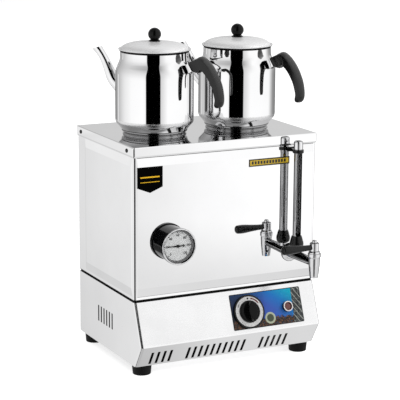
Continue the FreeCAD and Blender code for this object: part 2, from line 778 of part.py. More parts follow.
def tap_plug():
    """Turning plug whose elbow port meets the arm's bore when the lever points forward."""
    plug = lathe((0, 238.1), (PLUG_R, 238.1), (PLUG_R, 267.9), (STEM_R, 267.9), (STEM_R, 289.5), (0, 289.5))
    port = rod(4.5, (0, 0, TAP_Z), (VALVE_BORE_R + 1, 0, TAP_Z))
    drop = upright(4.5, 238, TAP_Z)
    thread = upright(2.0, 280, 290)
    return at_valve(plug.cut([port.fuse(drop), thread]))


def tap_lever_head():
    """Turned head on the valve stem, with a tang for the grip."""
    head = lathe((0, 273.6), (10.0, 273.6), (10.7, 274.3), (10.7, 291.0), (9.7, 292.0), (0, 292.0))
    tang = rod(3.5, (0, 0, LEVER_Z), (-34, 0, LEVER_Z))
    head = head.fuse(tang).removeSplitter()
    return at_valve(head.cut([upright(STEM_R, 270, 289.5), upright(2.0, 288, 293)]))


def tap_lever_grip():
    """Paddle grip, thickest near its free end."""
    shape = lathe((0, 6), (6.2, 6), [(6.6, 24), (8.6, 46), (10.4, 66), (9.8, 76)],
                  ((8.2, 80.5), (5.5, LEVER_LEN)), (0, LEVER_LEN))
    grip = placed(shape, Vector(0, 0, LEVER_Z), Y_AXIS, Vector(-1, 0, 0))
    grip = grip.cut([upright(10.7, 270, 295), rod(3.5, (0, 0, LEVER_Z), (-34, 0, LEVER_Z))])
    return at_valve(grip)


def tap_lever_screw():
    shape = lathe((0, 280), (2.0, 280), (2.0, 292), (5.5, 292), (5.5, 296.5),
                  ((4.2, 298.2), (1.0, 299)), (0, 299))
    return at_valve(shape)


# Water-level gauge on the tap's branch

def at_gauge(shape):
    moved = shape.copy()
    moved.translate(Vector(TAP_X, PANEL_Y - GAUGE_OUT, 0))
    return moved


def gauge_glass():
    return at_gauge(ring(6.0, 4.2, 268, 498))


def gauge_guard():
    """Metal tube round the glass, slotted at the front and with two small holes at the back."""
    tube = ring(GUARD_R, GUARD_R - SHEET, 278, 500)
    half = 7.0
    slot = box((-half, -12, 296), (half, 0, 478))
    for z in (296, 478):
        slot = slot.fuse(rod(half, (0, -12, z), (0, 0, z)))
    holes = [rod(2.2, (0, 0, z), (0, 12, z)) for z in (365, 455)]
    return at_gauge(tube.cut([slot] + holes))


def gauge_bottom_nut():
    """Round-shouldered nut that clamps the glass on the branch."""
    shape = lathe((7.52, 262), (11.0, 262), (14.4, 265), ((16.0, 273), (14.4, 280)), (13.2, 285),
                  (11.3, 291), (GUARD_R, 291), (GUARD_R, 278), (6.02, 278), (6.02, 268), (7.52, 268))
    return at_gauge(shape)


def gauge_top_cap():
    shape = lathe((GUARD_R, 492), (10.4, 492), (10.4, 506), ((9.2, 508.8), (6.0, GAUGE_TOP)),
                  (1.5, GAUGE_TOP), (1.5, 498), (6.02, 498), (6.02, 500), (GUARD_R, 500))
    return at_gauge(shape)


def gauge_clip():
    """Ring round the guard on a short arm from the front wall."""
    low, high = 483.0, 490.0
    hoop = upright(12.5, low, high)
    arm = box((-6, 0, low), (6, GAUGE_OUT - 2, high))
    foot = box((-11, GAUGE_OUT - 2, low - 1.5), (11, GAUGE_OUT, high + 1.5))
    clip = hoop.fuse([arm, foot]).removeSplitter()
    return at_gauge(clip.cut(upright(GUARD_R, low - 1, high + 1)))


# Plates on the front wall

def name_plate():
    """Plain shield-shaped plate."""
    left, right, high, low, tip = -221.0, -160.0, 474.4, 428.7, 416.6
    middle = (left + right) / 2
    corners = [(left, high), (right, high), (right, low), (middle, tip), (left, low), (left, high)]
    wire = Part.makePolygon([Vector(x, PANEL_Y, z) for x, z in corners])
    return Part.Face(wire).extrude(Vector(0, -0.8, 0))


def level_label():
    return box((54, PANEL_Y - 0.5, 453.5), (158, PANEL_Y, 470.4))


# Teapots, built about their own axis with the handle along local x and z from the top cover

def pot_side(inset):
    """Outer wall line from the cone above the foot up to the rim, or the inner one when inset."""
    bend, turn = 14.0, math.radians(40.7)
    bend_z, cone_r, cone_z = 33.8, 74.0, 11.4

    def on_bend(angle):
        reach = bend - inset
        return (POT_R - bend + reach * math.cos(angle), bend_z - reach * math.sin(angle))
    cone = (cone_r - inset * math.cos(turn), cone_z + inset * math.sin(turn))
    shoulder = [(88.7, 136), (88.0, 142), (85.6, 151), (82.0, 159), (79.0, 166), (77.6, 172.5),
                (NECK_R, 177)]
    neck = [(r - inset, z) for r, z in shoulder]
    return cone, on_bend(turn), on_bend(turn / 2), on_bend(0), (POT_R - inset, 132), neck


def pot_body():
    """Spun vessel with a foot ring, a straight wall and a drawn-in neck."""
    cone, low, through, high, wall_top, neck = pot_side(0)
    inner_cone, inner_low, inner_through, inner_high, inner_top, inner_neck = pot_side(POT_WALL)
    inside = inner_neck[-2::-1] + [inner_top]
    body = lathe((0, 8), (68.8, 8), (68.8, 3), (70.4, 0), (71.6, 0), (70.0, 3), (70.0, 6), cone, low,
                 (through, high), wall_top, neck, (NECK_R, RIM_Z), (NECK_R - POT_WALL, RIM_Z),
                 inner_neck[-1], inside, inner_high, (inner_through, inner_low), inner_cone, (71.0, 9.4),
                 (0, 9.4))
    return body.cut(rod(10.0, (-POT_R - 3, 0, 98), (-POT_R + 8, 0, 98)))


def spout_form(inset):
    """Curved spout along the plane of the handle, as a loft through round sections."""
    rows = ((78, 83, 13.6), (87, 93, 13.4), (97, 102, 13.2), (107.2, 111.8, 13.3), (114.9, 124, 12.9),
            (121.8, 138.6, 11.6), (131.5, 157.2, 9.8), (142.6, 173.7, 9.4), (155.9, 188.6, 10.8),
            (167.0, 199.5, 12.8))
    stations = smooth_rows(rows, 3)
    wires = []
    for i, (r, z, radius) in enumerate(stations):
        before = stations[max(i - 1, 0)]
        after = stations[min(i + 1, len(stations) - 1)]
        along = Vector(-(after[0] - before[0]), 0, after[1] - before[1])
        wires.append(Part.Wire(Part.makeCircle(radius - inset, Vector(-r, 0, z), along)))
    return Part.makeLoft(wires, True, True)


def pot_envelope():
    """The pot's full outer form without its hollow, to trim what is welded on."""
    cone, low, through, high, wall_top, neck = pot_side(0)
    return lathe((0, 0), (70.0, 0), (70.0, 6), cone, low, (through, high), wall_top, neck, (NECK_R, RIM_Z),
                 (0, RIM_Z))


def pot_spout():
    spout = spout_form(0).cut(spout_form(1.2)).cut(pot_envelope())
    lip = slab(40, (-190, 174), (-110, 199), (-110, 240), (-190, 240))
    spout = spout.cut(lip)
    return max(spout.Solids, key=lambda s: s.Volume)


def handle_bracket():
    """Welded socket between the shoulder and the grip's root."""
    block = slab(8.5, (70, 154), (90.5, 165.6), (100.6, 149.2), (80, 137))
    return block.cut([pot_envelope(), handle_grip(), handle_screw_shank()])


def handle_tang():
    """Tongue of the grip inside its socket."""
    return slab(6.0, (83.0, 157.2), (96.4, 165.0), (102.4, 154.6), (89.0, 146.8))


HANDLE_SCREW = ((94.6, 0, 143.1), (87.9, 0, 154.5))


def handle_screw_shank():
    return rod(1.6, *HANDLE_SCREW)


def handle_grip():
    """Moulded grip with flat sides and a crowned back, open below, with a finger stop at its free end."""
    rows = ((97.9, 159.0, 10.7, 10.5, 0.6, 118), (109.5, 161.2, 12.8, 12.0, 2.0, 105),
            (119.3, 164.9, 12.9, 13.5, 4.5, 97), (126.3, 165.6, 10.5, 14.2, 6.3, 90),
            (135.4, 157.9, 8.6, 14.5, 6.5, 69), (143.4, 148.7, 7.1, 14.5, 6.5, 50),
            (150.4, 138.3, 6.3, 14.5, 6.5, 37), (155.2, 129.2, 5.8, 14.5, 6.5, 30),
            (160.7, 116.9, 5.3, 14.5, 6.5, 23), (164.6, 102.2, 4.8, 14.3, 6.3, 15),
            (166.4, 90.5, 4.4, 13.8, 6.0, 7), (165.5, 82.1, 5.0, 13.2, 5.5, 1),
            (164.4, 76.1, 4.5, 11.8, 4.5, -4), (163.8, 72.4, 2.6, 9.0, 2.5, -5))
    sections = []
    for r, z, thick, wide, crown, degrees in smooth_rows(rows, 2):
        aim = math.radians(degrees)
        outward = Vector(math.cos(aim), 0, math.sin(aim))
        along = Vector(math.sin(aim), 0, -math.cos(aim))
        corners = [Vector(-wide, -thick, 0), Vector(-wide, thick, 0), Vector(wide, thick, 0),
                   Vector(wide, -thick, 0)]
        inner_crown = 0.3 * thick
        edges = [Part.makeLine(corners[0], corners[1]),
                 Part.Arc(corners[1], Vector(0, thick + crown, 0), corners[2]).toShape(),
                 Part.makeLine(corners[2], corners[3]),
                 Part.Arc(corners[3], Vector(0, -thick - inner_crown, 0), corners[0]).toShape()]
        across = outward.cross(along)
        sections.append(placed(Part.Wire(edges), Vector(r, 0, z), across, along))
    grip = Part.makeLoft(sections, True, True)
    return grip.fuse(handle_tang()).removeSplitter().cut(handle_screw_shank())


def handle_screw():
    start, end = [Vector(*point) for point in HANDLE_SCREW]
    along = (end - start).normalize()
    return handle_screw_shank().fuse(Part.makeCylinder(3.0, 2.1, start, along)).removeSplitter()


def dome(r):
    """Height of the lid's dome at a radius."""
    fall = 1 - (r / DOME_RIM_R) ** DOME_POWER
    return DOME_RIM_Z + (DOME_TOP_Z - DOME_RIM_Z) * max(fall, 0) ** (1 / DOME_POWER)


def lid():
    """Domed lid with an upturned lip and a skirt that drops into the neck."""
    sheet = 1.0
    skirt = 74.9
    shares = (0.15, 0.3, 0.45, 0.58, 0.69, 0.78, 0.85, 0.9, 0.94, 0.97, 0.99, 1.0)
    top = [(DOME_RIM_R * share, dome(DOME_RIM_R * share)) for share in shares]
    under = [(r - sheet, z - sheet) for r, z in reversed(top) if z > DOME_RIM_Z + 5]
    body = lathe((0, DOME_TOP_Z), *top, (DOME_RIM_R + 1.0, 189.7), (79.4, 190.6), (LID_R - 0.4, 193.2),
                 (LID_R, 192.8), (80.0, 189.6), (78.0, 188.5), (77.2, 188.3), (77.2, RIM_Z), (skirt, RIM_Z),
                 (skirt, 178), (skirt - sheet, 178), (skirt - sheet, 190), *under, (0, DOME_TOP_Z - sheet))
    return body.cut(upright(2.05, DOME_TOP_Z - 5, DOME_TOP_Z + 5))


def lid_knob():
    """Ball knob on a flared foot that fits the dome."""
    waist = 9.0
    join = KNOB_BALL_Z - math.sqrt(KNOB_BALL_R ** 2 - waist ** 2)
    top = KNOB_BALL_Z + KNOB_BALL_R
    foot_z = dome(13.5)
    shape = lathe((0, foot_z - 2), (13.2, foot_z - 2), (13.2, foot_z), (13.5, foot_z + 0.7),
                  ((10.6, foot_z + 2.2), (waist, join)), ((KNOB_BALL_R, KNOB_BALL_Z), (0, top)))
    fitted = shape.cut(lid()).cut(upright(2.05, DOME_TOP_Z - 3, 222))
    return max(fitted.Solids, key=lambda s: s.Volume)


def lid_screw():
    seat = DOME_TOP_Z - 1.2
    return lathe((0, seat - 2.5), (4.6, seat - 2.5), (5.0, seat - 1.9), (5.0, seat), (2.0, seat), (2.0, 222),
                 (0, 222))


POT_PIECES = (("pot_body", pot_body), ("pot_spout", pot_spout), ("handle_bracket", handle_bracket),
              ("handle_grip", handle_grip), ("handle_screw", handle_screw), ("lid", lid),
              ("lid_knob", lid_knob), ("lid_screw", lid_screw))

URN_PIECES = (base_shell, bottom_pan, feet, foot_screws, seam_gasket, casing_wrapper, inner_tank,
              top_cover, cover_screws, heating_element, heater_nuts, thermostat_body,
              thermostat_capillary, terminal_block, cable_gland, gland_nut, control_panel_plate,
              knob_scale_ring, thermostat_knob, thermostat_shaft, signal_lamp_body, signal_lamp_lens,
              thermometer_case, thermometer_bezel, thermometer_dial, thermometer_glass,
              thermometer_pointer, thermometer_probe, probe_nuts, tap_escutcheon, tap_body,
              tap_tail_nut, tap_bonnet, tap_plug, tap_lever_head, tap_lever_grip, tap_lever_screw,
              gauge_glass, gauge_guard, gauge_bottom_nut, gauge_top_cap, gauge_clip, name_plate,
              level_label)


def main():
    os.makedirs("parts", exist_ok=True)
    for piece in URN_PIECES:
        save(piece.__name__, piece())
    for name, make in POT_PIECES:
        shape = make()
        for side, x, degrees in POTS:
            aim = math.radians(degrees)
            toward = Vector(math.sin(aim), -math.cos(aim), 0)
            save(side + "_" + name, placed(shape, Vector(x, POT_Y, TOP_Z), toward, Z_AXIS))


main()
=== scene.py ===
import json
import math

import bpy
from mathutils import Matrix, Vector


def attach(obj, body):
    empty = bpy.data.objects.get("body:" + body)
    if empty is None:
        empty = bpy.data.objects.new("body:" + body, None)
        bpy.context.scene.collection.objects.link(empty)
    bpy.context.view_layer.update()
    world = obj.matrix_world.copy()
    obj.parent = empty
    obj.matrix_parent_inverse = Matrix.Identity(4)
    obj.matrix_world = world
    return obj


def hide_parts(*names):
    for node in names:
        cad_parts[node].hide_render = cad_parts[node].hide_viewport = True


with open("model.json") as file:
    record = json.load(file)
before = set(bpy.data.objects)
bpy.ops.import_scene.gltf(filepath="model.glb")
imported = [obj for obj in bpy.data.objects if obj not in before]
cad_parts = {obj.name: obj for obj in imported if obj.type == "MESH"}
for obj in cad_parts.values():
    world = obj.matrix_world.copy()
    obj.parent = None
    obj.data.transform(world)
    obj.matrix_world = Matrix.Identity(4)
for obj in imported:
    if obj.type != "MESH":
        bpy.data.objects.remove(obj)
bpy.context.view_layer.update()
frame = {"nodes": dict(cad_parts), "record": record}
NODES = frame["nodes"]

# Measures in millimetres, in the casing's frame: x right, y back, z up from the worktop. The casing's middle
# lies SHIFT_Y behind the part's origin.
MM = 0.001
SHIFT_Y = 56.85
HALF_W, HALF_D = 228.0, 159.0
TOP_Z, SEAM_Z, KNEE_Z, FOOT_H = 519.0, 170.6, 76.0, 24.0
KNEE_OUT, TOE_OUT = 37.3, 4.5
PANEL_Y = -160.2
POT_Y = -12.0
# Each teapot's place across the cover, and how many degrees its handle points to the right of the front
POTS = {"left": (-110.0, 34.0), "right": (99.5, 31.0)}


def at(x, y, z):
    """Point of the part's frame, in metres, from a place in the casing's frame."""
    return Vector((x * MM, (y + SHIFT_Y) * MM, z * MM))


def axes(origin, x_dir, z_dir):
    """Matrix from a local frame in millimetres to the part's frame."""
    x_dir, z_dir = Vector(x_dir).normalized(), Vector(z_dir).normalized()
    y_dir = z_dir.cross(x_dir)
    m = Matrix((x_dir * MM, y_dir * MM, z_dir * MM)).transposed().to_4x4()
    m.translation = origin
    return m


FALL = Vector((0, -KNEE_OUT, KNEE_Z - SEAM_Z)).normalized()
SLOPE_OUT = Vector((1, 0, 0)).cross(-FALL)


def on_front(x, z):
    """Local x right, y up, z out of the front wall."""
    return axes(at(x, PANEL_Y, z), (1, 0, 0), (0, -1, 0))


def on_slope(x, down):
    """Local x right, y up the slope, z out of the base's leaning front."""
    return axes(at(x, -HALF_D, SEAM_Z) + FALL * down * MM, (1, 0, 0), SLOPE_OUT)


def pot_frame(side):
    """Local frame of a teapot: x towards its handle, z up from the top cover."""
    x, degrees = POTS[side]
    aim = math.radians(degrees)
    return axes(at(x, POT_Y, TOP_Z), (math.sin(aim), -math.cos(aim), 0), (0, 0, 1))


CASING_FRAME = axes(at(0, 0, 0), (1, 0, 0), (0, 0, 1))
DIAL_FRAME = on_front(-134.5, 296.7)
SHIELD_FRAME = on_front(-190.5, 416.6)
LABEL_FRAME = on_front(54.0, 453.5)
TAP_FRAME = on_front(163.0, 246.0)
KNOB_FRAME = on_slope(47.9, 52.6)
LAMP_FRAME = on_slope(147.5, 52.3)
PRINT_FRAME = on_slope(4.6, 91.3)
PRINT_W, PRINT_H = 182.6, 81.8

# Camera, as fitted to the casing's corners in the photograph
CAMERA_PLACE = (-1653.54, -3314.98, 1169.71)
CAMERA_AZIMUTH, CAMERA_ELEVATION, CAMERA_ROLL = (math.radians(a) for a in (-26.681, 12.462, 0.355))
FOCAL_PX, PHOTO_W = 1630.93, 400
SENSOR_W = 36.0


def link_object(made):
    bpy.context.scene.collection.objects.link(made)


def make_camera():
    """Camera that sees the object as the photograph does."""
    level = math.cos(CAMERA_ELEVATION)
    back = Vector((math.sin(CAMERA_AZIMUTH) * level, -math.cos(CAMERA_AZIMUTH) * level,
                   math.sin(CAMERA_ELEVATION)))
    right = Vector((math.cos(CAMERA_AZIMUTH), math.sin(CAMERA_AZIMUTH), 0))
    up = back.cross(right)
    x_dir = right * math.cos(CAMERA_ROLL) + up * math.sin(CAMERA_ROLL)
    y_dir = up * math.cos(CAMERA_ROLL) - right * math.sin(CAMERA_ROLL)
    data = bpy.data.cameras.new("camera")
    data.sensor_width = SENSOR_W
    data.lens = SENSOR_W * FOCAL_PX / PHOTO_W
    data.clip_end = 50
    camera = bpy.data.objects.new("camera", data)
    m = Matrix((x_dir, y_dir, back)).transposed().to_4x4()
    m.translation = at(*CAMERA_PLACE)
    camera.matrix_world = m
    link_object(camera)
    bpy.context.scene.camera = camera


# Shader helpers

class Net:
    """Short way to write a node tree."""

    def __init__(self, tree):
        self.tree = tree
        tree.nodes.clear()

    def node(self, kind, **values):
        made = self.tree.nodes.new("ShaderNode" + kind)
        for key, value in values.items():
            setattr(made, key, value)
        return made

    def link(self, source, target):
        self.tree.links.new(source, target)

    def set(self, socket, value):
        """Constant or link."""
        if isinstance(value, bpy.types.NodeSocket):
            self.link(value, socket)
        else:
            socket.default_value = value

    def math(self, operation, *values):
        made = self.node("Math", operation=operation)
        for socket, value in zip(made.inputs, values):
            self.set(socket, value)
        return made.outputs[0]

    def plus(self, first, second):
        return self.math("ADD", first, second)

    def minus(self, first, second):
        return self.math("SUBTRACT", first, second)

    def times(self, first, *others):
        for value in others:
            first = self.math("MULTIPLY", first, value)
        return first

    def largest(self, first, *others):
        for value in others:
            first = self.math("MAXIMUM", first, value)
        return first

    def remap(self, value, low, high, to_low, to_high):
        """Number that goes from to_low to to_high while the value goes from low to high, and no further."""
        made = self.node("MapRange")
        self.set(made.inputs["Value"], value)
        ends = {"From Min": low, "From Max": high, "To Min": to_low, "To Max": to_high}
        for name, number in ends.items():
            made.inputs[name].default_value = number
        return made.outputs["Result"]

    def rise(self, value, low, high):
        return self.remap(value, low, high, 0, 1)

    def fall(self, value, low, high):
        return self.remap(value, low, high, 1, 0)

    def step(self, value, edge, soft=0.1):
        """One above an edge and zero below it."""
        return self.rise(value, edge - soft / 2, edge + soft / 2)

    def within(self, value, low, high, soft=0.1):
        """One between two edges and zero elsewhere."""
        return self.times(self.step(value, low, soft), self.fall(value, high - soft / 2, high + soft / 2))

    def radius(self, x, y):
        return self.math("SQRT", self.plus(self.times(x, x), self.times(y, y)))

    def mix(self, factor, a, b, blend="MIX"):
        """Mixed colour of two sockets or colours."""
        made = self.node("Mix", data_type="RGBA", blend_type=blend)
        self.set(made.inputs["Factor"], factor)
        for name, value in (("A", a), ("B", b)):
            socket = [s for s in made.inputs if s.name == name and s.type == "RGBA"][0]
            self.set(socket, (*value, 1) if isinstance(value, tuple) else value)
        return [s for s in made.outputs if s.type == "RGBA"][0]

    def ramp(self, value, stops):
        """Colour by straight steps between (position, colour) stops."""
        made = self.node("ValToRGB")
        made.color_ramp.interpolation = "LINEAR"
        elements = made.color_ramp.elements
        while len(elements) > 1:
            elements.remove(elements[-1])
        elements[0].position = stops[0][0]
        elements[0].color = (*stops[0][1], 1)
        for position, colour in stops[1:]:
            elements.new(position).color = (*colour, 1)
        self.set(made.inputs["Fac"], value)
        return made.outputs["Color"]

    def shade(self, factor, first, second):
        """First shader where the factor is zero, second where it is one."""
        made = self.node("MixShader")
        self.set(made.inputs[0], factor)
        self.link(first, made.inputs[1])
        self.link(second, made.inputs[2])
        return made.outputs[0]

    def local(self, matrix):
        """Object coordinates in millimetres along the axes of a local frame."""
        where = self.node("VectorMath", operation="SUBTRACT")
        self.link(self.node("TexCoord").outputs["Object"], where.inputs[0])
        where.inputs[1].default_value = matrix.translation
        parts = []
        for axis in range(3):
            dot = self.node("VectorMath", operation="DOT_PRODUCT")
            self.link(where.outputs[0], dot.inputs[0])
            dot.inputs[1].default_value = matrix.col[axis].to_3d().normalized() / MM
            parts.append(dot.outputs["Value"])
        return parts

    def noise(self, scale, detail=3.0, rough=0.5, stretch=(1, 1, 1)):
        mapping = self.node("Mapping")
        mapping.inputs["Scale"].default_value = stretch
        self.link(self.node("TexCoord").outputs["Object"], mapping.inputs["Vector"])
        made = self.node("TexNoise")
        for name, number in (("Scale", scale), ("Detail", detail), ("Roughness", rough)):
            made.inputs[name].default_value = number
        self.link(mapping.outputs["Vector"], made.inputs["Vector"])
        return made.outputs["Fac"]

    def bump(self, height, strength, distance, normal=None):
        made = self.node("Bump")
        made.inputs["Strength"].default_value = strength
        made.inputs["Distance"].default_value = distance
        self.link(height, made.inputs["Height"])
        if normal:
            self.link(normal, made.inputs["Normal"])
        return made.outputs["Normal"]


def material(name, build):
    """Material whose surface is what build(net) gives."""
    made = bpy.data.materials.new(name)
    made.use_nodes = True
    net = Net(made.node_tree)
    net.link(build(net), net.node("OutputMaterial").inputs["Surface"])
    return made


def grey(level):
    return (level, level, level)


def metal(net, colour, rough, waviness=0.0, brushed=0.0, rim=0.92):
    """Polished or brushed metal: uneven polish, slight sheet waviness and fine scratches."""
    shader = net.node("BsdfPrincipled")
    shader.inputs["Metallic"].default_value = 1.0
    shader.inputs["Specular Tint"].default_value = (rim, rim, rim, 1)
    cloud = net.noise(9.0, detail=4.0, rough=0.55)
    dark = tuple(c * 0.965 for c in colour)
    net.link(net.mix(net.rise(cloud, 0.35, 0.7), colour, dark), shader.inputs["Base Color"])
    smudges = net.remap(cloud, 0.3, 0.75, rough * 0.75, rough * 1.25)
    streaks = net.remap(net.noise(60.0, rough=0.6, stretch=(1, 1, 14)), 0.3, 0.7, 0, rough * 0.35)
    net.link(net.plus(smudges, streaks), shader.inputs["Roughness"])
    normal = None
    if waviness:
        normal = net.bump(net.noise(5.0, detail=1.0, rough=0.4), waviness, 0.004)
    if brushed:
        scratches = net.noise(900.0, detail=2.0, rough=0.6, stretch=(0.02, 1, 1))
        normal = net.bump(scratches, brushed, 0.00005, normal)
    if normal:
        net.link(normal, shader.inputs["Normal"])
    return shader.outputs[0]


def plastic(net, colour, rough, grain=0.1, grain_scale=900.0, mottle=0.2, coat=0.0, sheen=0.5):
    """Moulded plastic or paint: mottled colour, uneven gloss and a fine moulded grain."""
    shader = net.node("BsdfPrincipled")
    shader.inputs["Specular IOR Level"].default_value = sheen
    cloud = net.noise(35.0, detail=4.0, rough=0.6)
    spread = net.mix(net.rise(cloud, 0.3, 0.7), grey(1 - mottle), grey(1.0))
    net.link(net.mix(1.0, spread, colour, "MULTIPLY"), shader.inputs["Base Color"])
    net.link(net.remap(cloud, 0.3, 0.7, rough * 0.85, rough * 1.15), shader.inputs["Roughness"])
    if coat:
        shader.inputs["Coat Weight"].default_value = coat
        shader.inputs["Coat Roughness"].default_value = 0.05
    grains = net.noise(grain_scale, detail=2.0)
    net.link(net.bump(grains, grain, 0.00008), shader.inputs["Normal"])
    return shader.outputs[0]


def dark_paint(net, level, rough):
    """Near black with little shine, for dark lines and for painted shade."""
    return plastic(net, grey(level), rough, sheen=0.1)


# Studio

# The greys that polished metal sees, as (azimuth, grey) with azimuth 0 in front and 90 to the right, in
# bands from the floor up. An edge holds the heights in degrees between which one band turns into the next.
FULL = 1.25
UNDER_TOE, UNDER_TOE_GREY = (-66.8, -63.2), 0.42
FLOOR_BAND = ((-180, 0.75), (-60, 0.72), (20, 0.74), (40, 0.80), (120, 0.78), (180, 0.75))
LOW_EDGE = (-50, -24)
LOW_BAND = ((-180, 0.70), (-158, 0.74), (-155.2, 0.90), (-140, 0.90), (-120, 0.95), (-50, 0.90), (24, 0.83),
            (31, 0.78), (85, 0.8), (95, 0.55), (144, 0.10), (160, 0.2), (180, 0.6))
WALL_EDGE = (-15.9, -13.2)
WALL_BAND = ((-180, 0.80), (-158, 0.83), (-155.2, 0.96), (-120, 1.0), (-60, 1.1), (-10, 0.80), (14, 0.86),
             (24.3, 0.92), (26.5, 1.06), (30.5, 1.22), (80, 1.1), (95, 0.6), (144, 0.05), (160, 0.1),
             (180, 0.6))
POT_EDGE = (-10.3, -10.0)
POT_BAND = ((-180, 0.28), (-173, 0.36), (-166, 0.52), (-151, 0.60), (-140, 0.72), (-130, 0.84),
            (-121, 0.93), (-105, 1.02), (-98, 1.08), (-60, 1.12), (-51, 1.05), (-7.4, 0.74), (2, 0.90),
            (14, 1.12), (80, 1.1), (85, 1.05), (95, 0.68), (108, 0.34), (125, 0.28), (144, 0.03),
            (158, 0.05), (180, 0.26))
HIGH_BAND = ((-180, 0.50), (-166, 0.50), (-150, 0.58), (-130, 0.68), (-105, 0.78), (-75, 0.84),
             (-51, 0.80), (-9.5, 0.66), (14, 0.90), (24, 1.05), (40, 1.12), (75, 0.95), (100, 0.88),
             (140, 0.74), (165, 0.68), (180, 0.55))
TOP_EDGE = (26, 44)
TOP_BAND = ((-180, 0.40), (-150, 0.30), (-125, 0.32), (-100, 0.40), (-51, 0.42), (-9.5, 0.3), (15, 0.80),
            (30, 1.15), (60, 1.0), (100, 0.85), (165, 0.80), (180, 0.6))
ROOF_EDGE, ROOF_GREY = (66, 74), 0.22
# The heights over which the high bands take over, in general and at the back between two azimuths
OPEN_RISE, BACK_RISE = (-8, 26), (-4, 3)
BACK_FROM, BACK_TO = (109, 115), (-176, -170)
# Tall dark flag, by its edges in azimuth and height, lighter under a height and with a notch in it
FLAG_LEFT, FLAG_RIGHT, FLAG_FOOT, FLAG_TOP = (-51.2, -49.6), (-8.6, -7.2), (-34, -28), (82, 85)
FLAG_LOW_EDGE, FLAG_LOW = (-10.5, -10.2), 0.82
NOTCH_AZIMUTH, NOTCH_HEIGHT = (-27.7, -25.9), (-17.0, -10.9)
# Bright strip for the lower bevel of the front's pressed field, which climbs with the azimuth
STRIP_AZIMUTH, STRIP_HEIGHT, STRIP_CLIMB, STRIP_GREY = (18, 40), (-21.0, -18.99), 0.131, 1.12
# Bright patch for the upper bevel of the side's pressed field
PATCH_AZIMUTH, PATCH_HEIGHT, PATCH_GREY = (-159.0, -154.6), (-10.2, -2.6), 0.96


def look_angles(net):
    """Azimuth and height, in degrees, of the direction in which the surroundings are seen."""
    split = net.node("SeparateXYZ")
    net.link(net.node("TexCoord").outputs["Generated"], split.inputs[0])
    x, y, z = split.outputs
    azimuth = net.times(net.math("ARCTAN2", x, net.times(y, -1.0)), 180 / math.pi)
    height = net.times(net.math("ARCSINE", z), 180 / math.pi)
    return azimuth, height


def dark_flag(net, azimuth, height):
    """How dark the flag makes each direction, with the notch cut out for the bevel of the front's field."""
    sides = net.times(net.rise(azimuth, *FLAG_LEFT), net.fall(azimuth, *FLAG_RIGHT))
    ends = net.times(net.fall(height, *FLAG_TOP), net.rise(height, *FLAG_FOOT))
    strength = net.remap(height, *FLAG_LOW_EDGE, FLAG_LOW, 1.0)
    notch = net.times(net.within(azimuth, *NOTCH_AZIMUTH, 0.3), net.within(height, *NOTCH_HEIGHT, 0.2))
    return net.times(sides, ends, strength, net.minus(1.0, notch))


def studio_colour(net, azimuth, height):
    """Everything that polished metal sees round the object."""
    turn = net.rise(azimuth, -180, 180)

    def around(band):
        return net.ramp(turn, [((degrees + 180) / 360, grey(level / FULL)) for degrees, level in band])

    low = net.mix(net.rise(height, *LOW_EDGE), around(FLOOR_BAND), around(LOW_BAND))
    low = net.mix(net.rise(height, *UNDER_TOE), grey(UNDER_TOE_GREY), low)
    painted = net.mix(net.rise(height, *WALL_EDGE), low, around(WALL_BAND))
    climbing = net.minus(height, net.times(azimuth, STRIP_CLIMB))
    strip = net.times(net.within(climbing, *STRIP_HEIGHT, 0.18), net.within(azimuth, *STRIP_AZIMUTH, 6))
    painted = net.mix(strip, painted, grey(STRIP_GREY / FULL))
    painted = net.mix(net.rise(height, *POT_EDGE), painted, around(POT_BAND))
    sky = net.mix(net.rise(height, *TOP_EDGE), around(HIGH_BAND), around(TOP_BAND))
    behind = net.largest(net.rise(azimuth, *BACK_FROM), net.fall(azimuth, *BACK_TO))
    up = net.largest(net.rise(height, *OPEN_RISE), net.times(behind, net.rise(height, *BACK_RISE)))
    painted = net.mix(up, painted, sky)
    painted = net.mix(dark_flag(net, azimuth, height), painted, grey(0.0))
    patch = net.times(net.within(azimuth, *PATCH_AZIMUTH, 0.3), net.within(height, *PATCH_HEIGHT, 0.3))
    painted = net.mix(patch, painted, grey(PATCH_GREY / FULL))
    painted = net.mix(net.rise(height, *ROOF_EDGE), painted, grey(ROOF_GREY))
    return net.mix(1.0, painted, grey(FULL), "MULTIPLY")


def make_world():
    """Soft white surroundings, in which only shiny surfaces see the studio's greys and its dark flag."""
    world = bpy.data.worlds.new("studio")
    bpy.context.scene.world = world
    world.use_nodes = True
    net = Net(world.node_tree)
    studio, backdrop, soft = (net.node("Background") for _ in range(3))
    net.link(studio_colour(net, *look_angles(net)), studio.inputs["Color"])
    for plain, strength in ((backdrop, 1.0), (soft, 0.55)):
        plain.inputs["Color"].default_value = (1, 1, 1, 1)
        plain.inputs["Strength"].default_value = strength
    rays = net.node("LightPath").outputs
    shiny = net.largest(rays["Is Glossy Ray"], rays["Is Transmission Ray"])
    indirect = net.shade(shiny, soft.outputs[0], studio.outputs[0])
    seen = net.shade(rays["Is Camera Ray"], indirect, backdrop.outputs[0])
    net.link(seen, net.node("OutputWorld").inputs["Surface"])


# Size of the lamps and the point they aim at, in metres
LAMP_SIZE, LAMP_AIM = 1.8, Vector((0, 0, 0.35))


def add_lamp(name, place, power):
    """Soft square lamp, placed in metres, that lights the object without showing in its steel."""
    data = bpy.data.lights.new(name, "AREA")
    data.shape = "RECTANGLE"
    data.size, data.size_y = LAMP_SIZE, LAMP_SIZE
    data.energy = power
    lamp = bpy.data.objects.new(name, data)
    lamp.location = place
    lamp.rotation_euler = (LAMP_AIM - Vector(place)).to_track_quat("-Z", "Y").to_euler()
    lamp.visible_glossy = False
    link_object(lamp)


